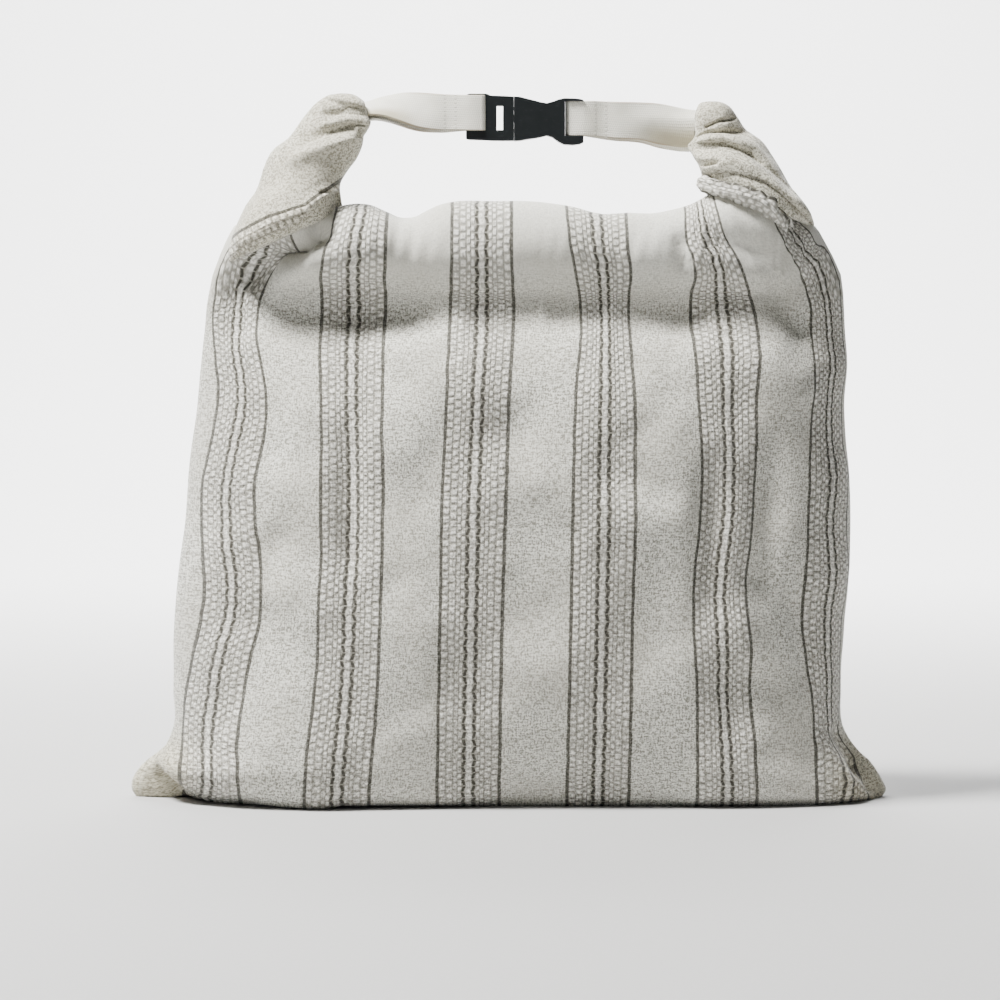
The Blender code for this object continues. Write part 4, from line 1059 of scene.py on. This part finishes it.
def webbing_finish(name, straight):
    """Ribbed webbing on its own map: fine cross ribs, lengthwise yarns, edges painted brown as shade, the
    lower part near the root painted khaki as shade, stitches.
    """
    finish, tree, shader = new_finish(name, Sheen_Weight=0.2, Sheen_Roughness=0.5, Specular_IOR_Level=0.3)
    place = cloth_place(tree)
    x, y, _ = parts_of(tree, place)
    slant = calc(tree, "MULTIPLY", calc(tree, "PINGPONG", x, 2.4), 0.45)
    rib = calc(tree, "PINGPONG", calc(tree, "ADD", y, slant), 0.55)
    yarn = calc(tree, "PINGPONG", x, 0.6)
    fibres = noise(tree, stretched(tree, place, (1.6, 0.5, 1.0)), 1.0)
    cloud = noise(tree, place, 0.06)
    # The edges, painted brown as shade where the back layer's edge lies in shadow.
    edge = ramp(tree, calc(tree, "ABSOLUTE", x), 8.6, 9.7)
    weave = calc(tree, "ADD", ramp(tree, rib, 0.05, 0.5, 0.0, 0.6), ramp(tree, yarn, 0.05, 0.5, 0.0, 0.4))
    tack = None
    for distance in TACKS:
        line = ramp(tree, calc(tree, "ABSOLUTE", calc(tree, "SUBTRACT", y, straight - distance)),
                    0.35, 0.75, 1.0, 0.0)
        tack = line if tack is None else calc(tree, "MAXIMUM", tack, line)
    knots = calc(tree, "MULTIPLY", tack, ramp(tree, calc(tree, "PINGPONG", x, 1.1), 0.2, 0.5))
    base = mixed(tree, calc(tree, "MULTIPLY", weave, calc(tree, "ADD", fibres, 0.4)),
                 (0.70, 0.682, 0.60), (0.93, 0.912, 0.83))
    base = mixed(tree, ramp(tree, cloud, 0.4, 0.75, 0.0, 0.4), base, (0.60, 0.575, 0.47))
    # Painted shade: the lower half of the strap near its root, where it turns down and under, is darkened
    # khaki; then the edges get their painted brown shade.
    root = calc(tree, "MULTIPLY", ramp(tree, x, -6.5, 0.5, 0.85, 0.0), ramp(tree, y, 22.0, 46.0, 1.0, 0.0))
    base = mixed(tree, root, base, (0.42, 0.37, 0.25))
    base = mixed(tree, calc(tree, "MULTIPLY", edge, 0.75), base, (0.30, 0.22, 0.13))
    base = mixed(tree, calc(tree, "MULTIPLY", tack, 0.45), base, (0.36, 0.34, 0.28))
    base = mixed(tree, knots, base, (0.78, 0.76, 0.68))
    tree.links.new(base, shader.inputs["Base Color"])
    tree.links.new(ramp(tree, fibres, 0.3, 0.7, 0.75, 0.9), shader.inputs["Roughness"])
    height = calc(tree, "ADD", calc(tree, "MULTIPLY", weave, 0.5), calc(tree, "MULTIPLY", fibres, 0.3))
    height = calc(tree, "SUBTRACT", calc(tree, "ADD", height, calc(tree, "MULTIPLY", knots, 0.9)),
                  calc(tree, "MULTIPLY", tack, 0.5))
    bumped(tree, shader, height, 0.0004, 0.8)
    return finish


for side, table, heading in (("left", LEFT_STRAP, 1.0), ("right", RIGHT_STRAP, -1.0)):
    points, strap_uv, straight = strap_points(table, heading)
    strap = grid_piece("strap_" + side, points, strap_uv, webbing_finish("webbing_" + side, straight),
                       WEBBING_THICK)
    strap.modifiers["thickness"].offset = 0.0
    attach(strap, "root")
    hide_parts("webbing_" + side)


# ---------------------------------------------------------------- the buckle
# Moulded black plastic in two halves: a plug with two bars and springy arms, clipped into a flared
# socket whose side windows show the catches.  The two straps hold it by its outer bars.
BUCKLE_Y = -9.0
BUCKLE_Z = 366.0
BUCKLE_EDGE = 0.25         # rounding of the moulded edges
PLUG_OUTLINE = (
    # x, height above and below the middle line
    (-24.4, 11.6, 11.6), (-22.8, 12.4, 12.2), (-13.6, 12.4, 12.5), (-11.0, 11.4, 12.7), (-4.6, 11.2, 12.8),
    (1.2, 10.8, 12.8),
)
PLUG_BASE = ((-4.2, 11.1, 12.7), (1.2, 10.7, 12.7))
PLUG_BLOCKS = (
    # operation, name, x0, x1, z0, z1, y0, y1
    ("DIFFERENCE", "plug_slot", -17.4, -13.9, -7.2, 11.2, -9, 9),
    ("DIFFERENCE", "plug_window", -8, -4.6, -7, 5.8, -9, 9),
    ("UNION", "plug_guide", 1, 19, -2.8, 1.2, -1.4, 1.4),
    ("UNION", "arm_upper", 1, 15, 3.4, 5.4, -1.9, 1.9),
    ("UNION", "arm_lower", 1, 15, -8.6, -6.4, -1.9, 1.9),
    ("UNION", "catch_upper", 14, 23, 3.4, 6.8, -1.9, 1.9),
    ("UNION", "catch_lower", 14, 23, -9.6, -6.4, -1.9, 1.9),
)
SOCKET_OUTLINE = (
    (1.26, 10.8, 12.9), (4.5, 10.6, 12.7), (8.0, 9.7, 12.1), (12.0, 8.7, 11.5), (15.5, 7.8, 10.8),
    (18.8, 7.2, 10.0), (21.8, 8.0, 10.9), (25.0, 9.2, 13.4), (28.0, 9.9, 14.8), (32.5, 9.8, 15.1),
    (36.5, 9.5, 14.6), (38.4, 8.9, 13.6),
)
SOCKET_BLOCKS = (
    # operation, name, x0, x1, z0, z1, y0, y1
    ("DIFFERENCE", "socket_room", 0.5, 24.2, -8.9, 5.8, -2.5, 2.5),
    ("DIFFERENCE", "socket_windows", 13, 23.8, -20, 20, -2.5, 2.5),
    ("DIFFERENCE", "socket_slot", 28.5, 31.4, -10.2, 8.4, -9, 9),
    ("DIFFERENCE", "socket_front", 30.4, 40.4, -10.2, 8.4, -6.75, -1.75),
    ("DIFFERENCE", "socket_back", 30.4, 40.4, -10.2, 8.4, 1.75, 6.75),
)


def prism(name, outline, y0, y1, finish):
    """A block from y0 to y1, whose outline has an upper and a lower side along x."""
    table = np.array(outline)
    loop = np.concatenate((table[:, :2], table[::-1, ::2] * (1.0, -1.0)))
    count = len(loop)
    faces = [np.column_stack((loop[:, 0], np.full(count, BUCKLE_Y + y), BUCKLE_Z + loop[:, 1]))
             for y in (y0, y1)]
    points = np.concatenate(faces) * MM
    ends = [tuple(range(count)), tuple(range(2 * count - 1, count - 1, -1))]
    sides = [(k, k + count, (k + 1) % count + count, (k + 1) % count) for k in range(count)]
    shape = bpy.data.meshes.new(name)
    shape.from_pydata(points.tolist(), [], ends + sides)
    work = bmesh.new()
    work.from_mesh(shape)
    bmesh.ops.recalc_face_normals(work, faces=work.faces)
    work.to_mesh(shape)
    work.free()
    shape.materials.append(finish)
    return placed(name, shape)


def straight_blocks(table, finish):
    """The operation of each row, with its straight block."""
    return [(operation, prism(name, ((x0, z1, -z0), (x1, z1, -z0)), y0, y1, finish))
            for operation, name, x0, x1, z0, z1, y0, y1 in table]


def combined(name, base, steps, finish):
    """The base joined with, and cut by, other blocks, with its edges rounded."""
    for operation, block in steps:
        change = base.modifiers.new(block.name, "BOOLEAN")
        change.operation = operation
        change.solver = "EXACT"
        change.object = block
    bpy.context.view_layer.update()
    finished = bpy.data.meshes.new_from_object(base.evaluated_get(bpy.context.evaluated_depsgraph_get()))
    for thing in [base] + [block for _, block in steps]:
        bpy.data.objects.remove(thing, do_unlink=True)
    finished.materials.clear()
    finished.materials.append(finish)
    finished.shade_smooth()
    piece = placed(name, finished)
    rounding = piece.modifiers.new("rounding", "BEVEL")
    rounding.width = BUCKLE_EDGE * MM
    rounding.segments = 3
    rounding.limit_method = "ANGLE"
    rounding.angle_limit = math.radians(28.0)
    rounding.harden_normals = True
    return piece


plastic, tree, shader = new_finish("moulded_plastic", Roughness=0.42, Specular_IOR_Level=0.45)
plastic_place = coordinates(tree, "Object")
moulding = noise(tree, plastic_place, 2600.0, 2.0)
scuffs = noise(tree, stretched(tree, plastic_place, (300.0, 300.0, 900.0)), 1.0, 4.0)
rubbed = ramp(tree, scuffs, 0.55, 0.75, 0.0, 0.5)
black = mixed(tree, rubbed, (0.0065, 0.0085, 0.0095), (0.022, 0.026, 0.028))
tree.links.new(black, shader.inputs["Base Color"])
dull = calc(tree, "ADD", calc(tree, "MULTIPLY", moulding, 0.5), rubbed)
tree.links.new(ramp(tree, dull, 0.1, 0.9, 0.34, 0.56), shader.inputs["Roughness"])
bumped(tree, shader, moulding, 0.00012, 0.5)

plug_base = prism("plug_base", PLUG_BASE, -4.3, 4.3, plastic)
plug_frame = prism("plug_frame", PLUG_OUTLINE, -1.75, 1.75, plastic)
plug = combined("plug", plug_frame, [("UNION", plug_base)] + straight_blocks(PLUG_BLOCKS, plastic), plastic)
socket_body = prism("socket_body", SOCKET_OUTLINE, -4.5, 4.5, plastic)
socket = combined("socket", socket_body, straight_blocks(SOCKET_BLOCKS, plastic), plastic)
for piece, node in ((plug, "buckle_plug"), (socket, "buckle_socket")):
    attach(piece, "root")
    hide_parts(node)

size = {"cad": [list(map(float, corner)) for corner in cad_box],
        "visual": [list(map(float, corner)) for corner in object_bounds()]}
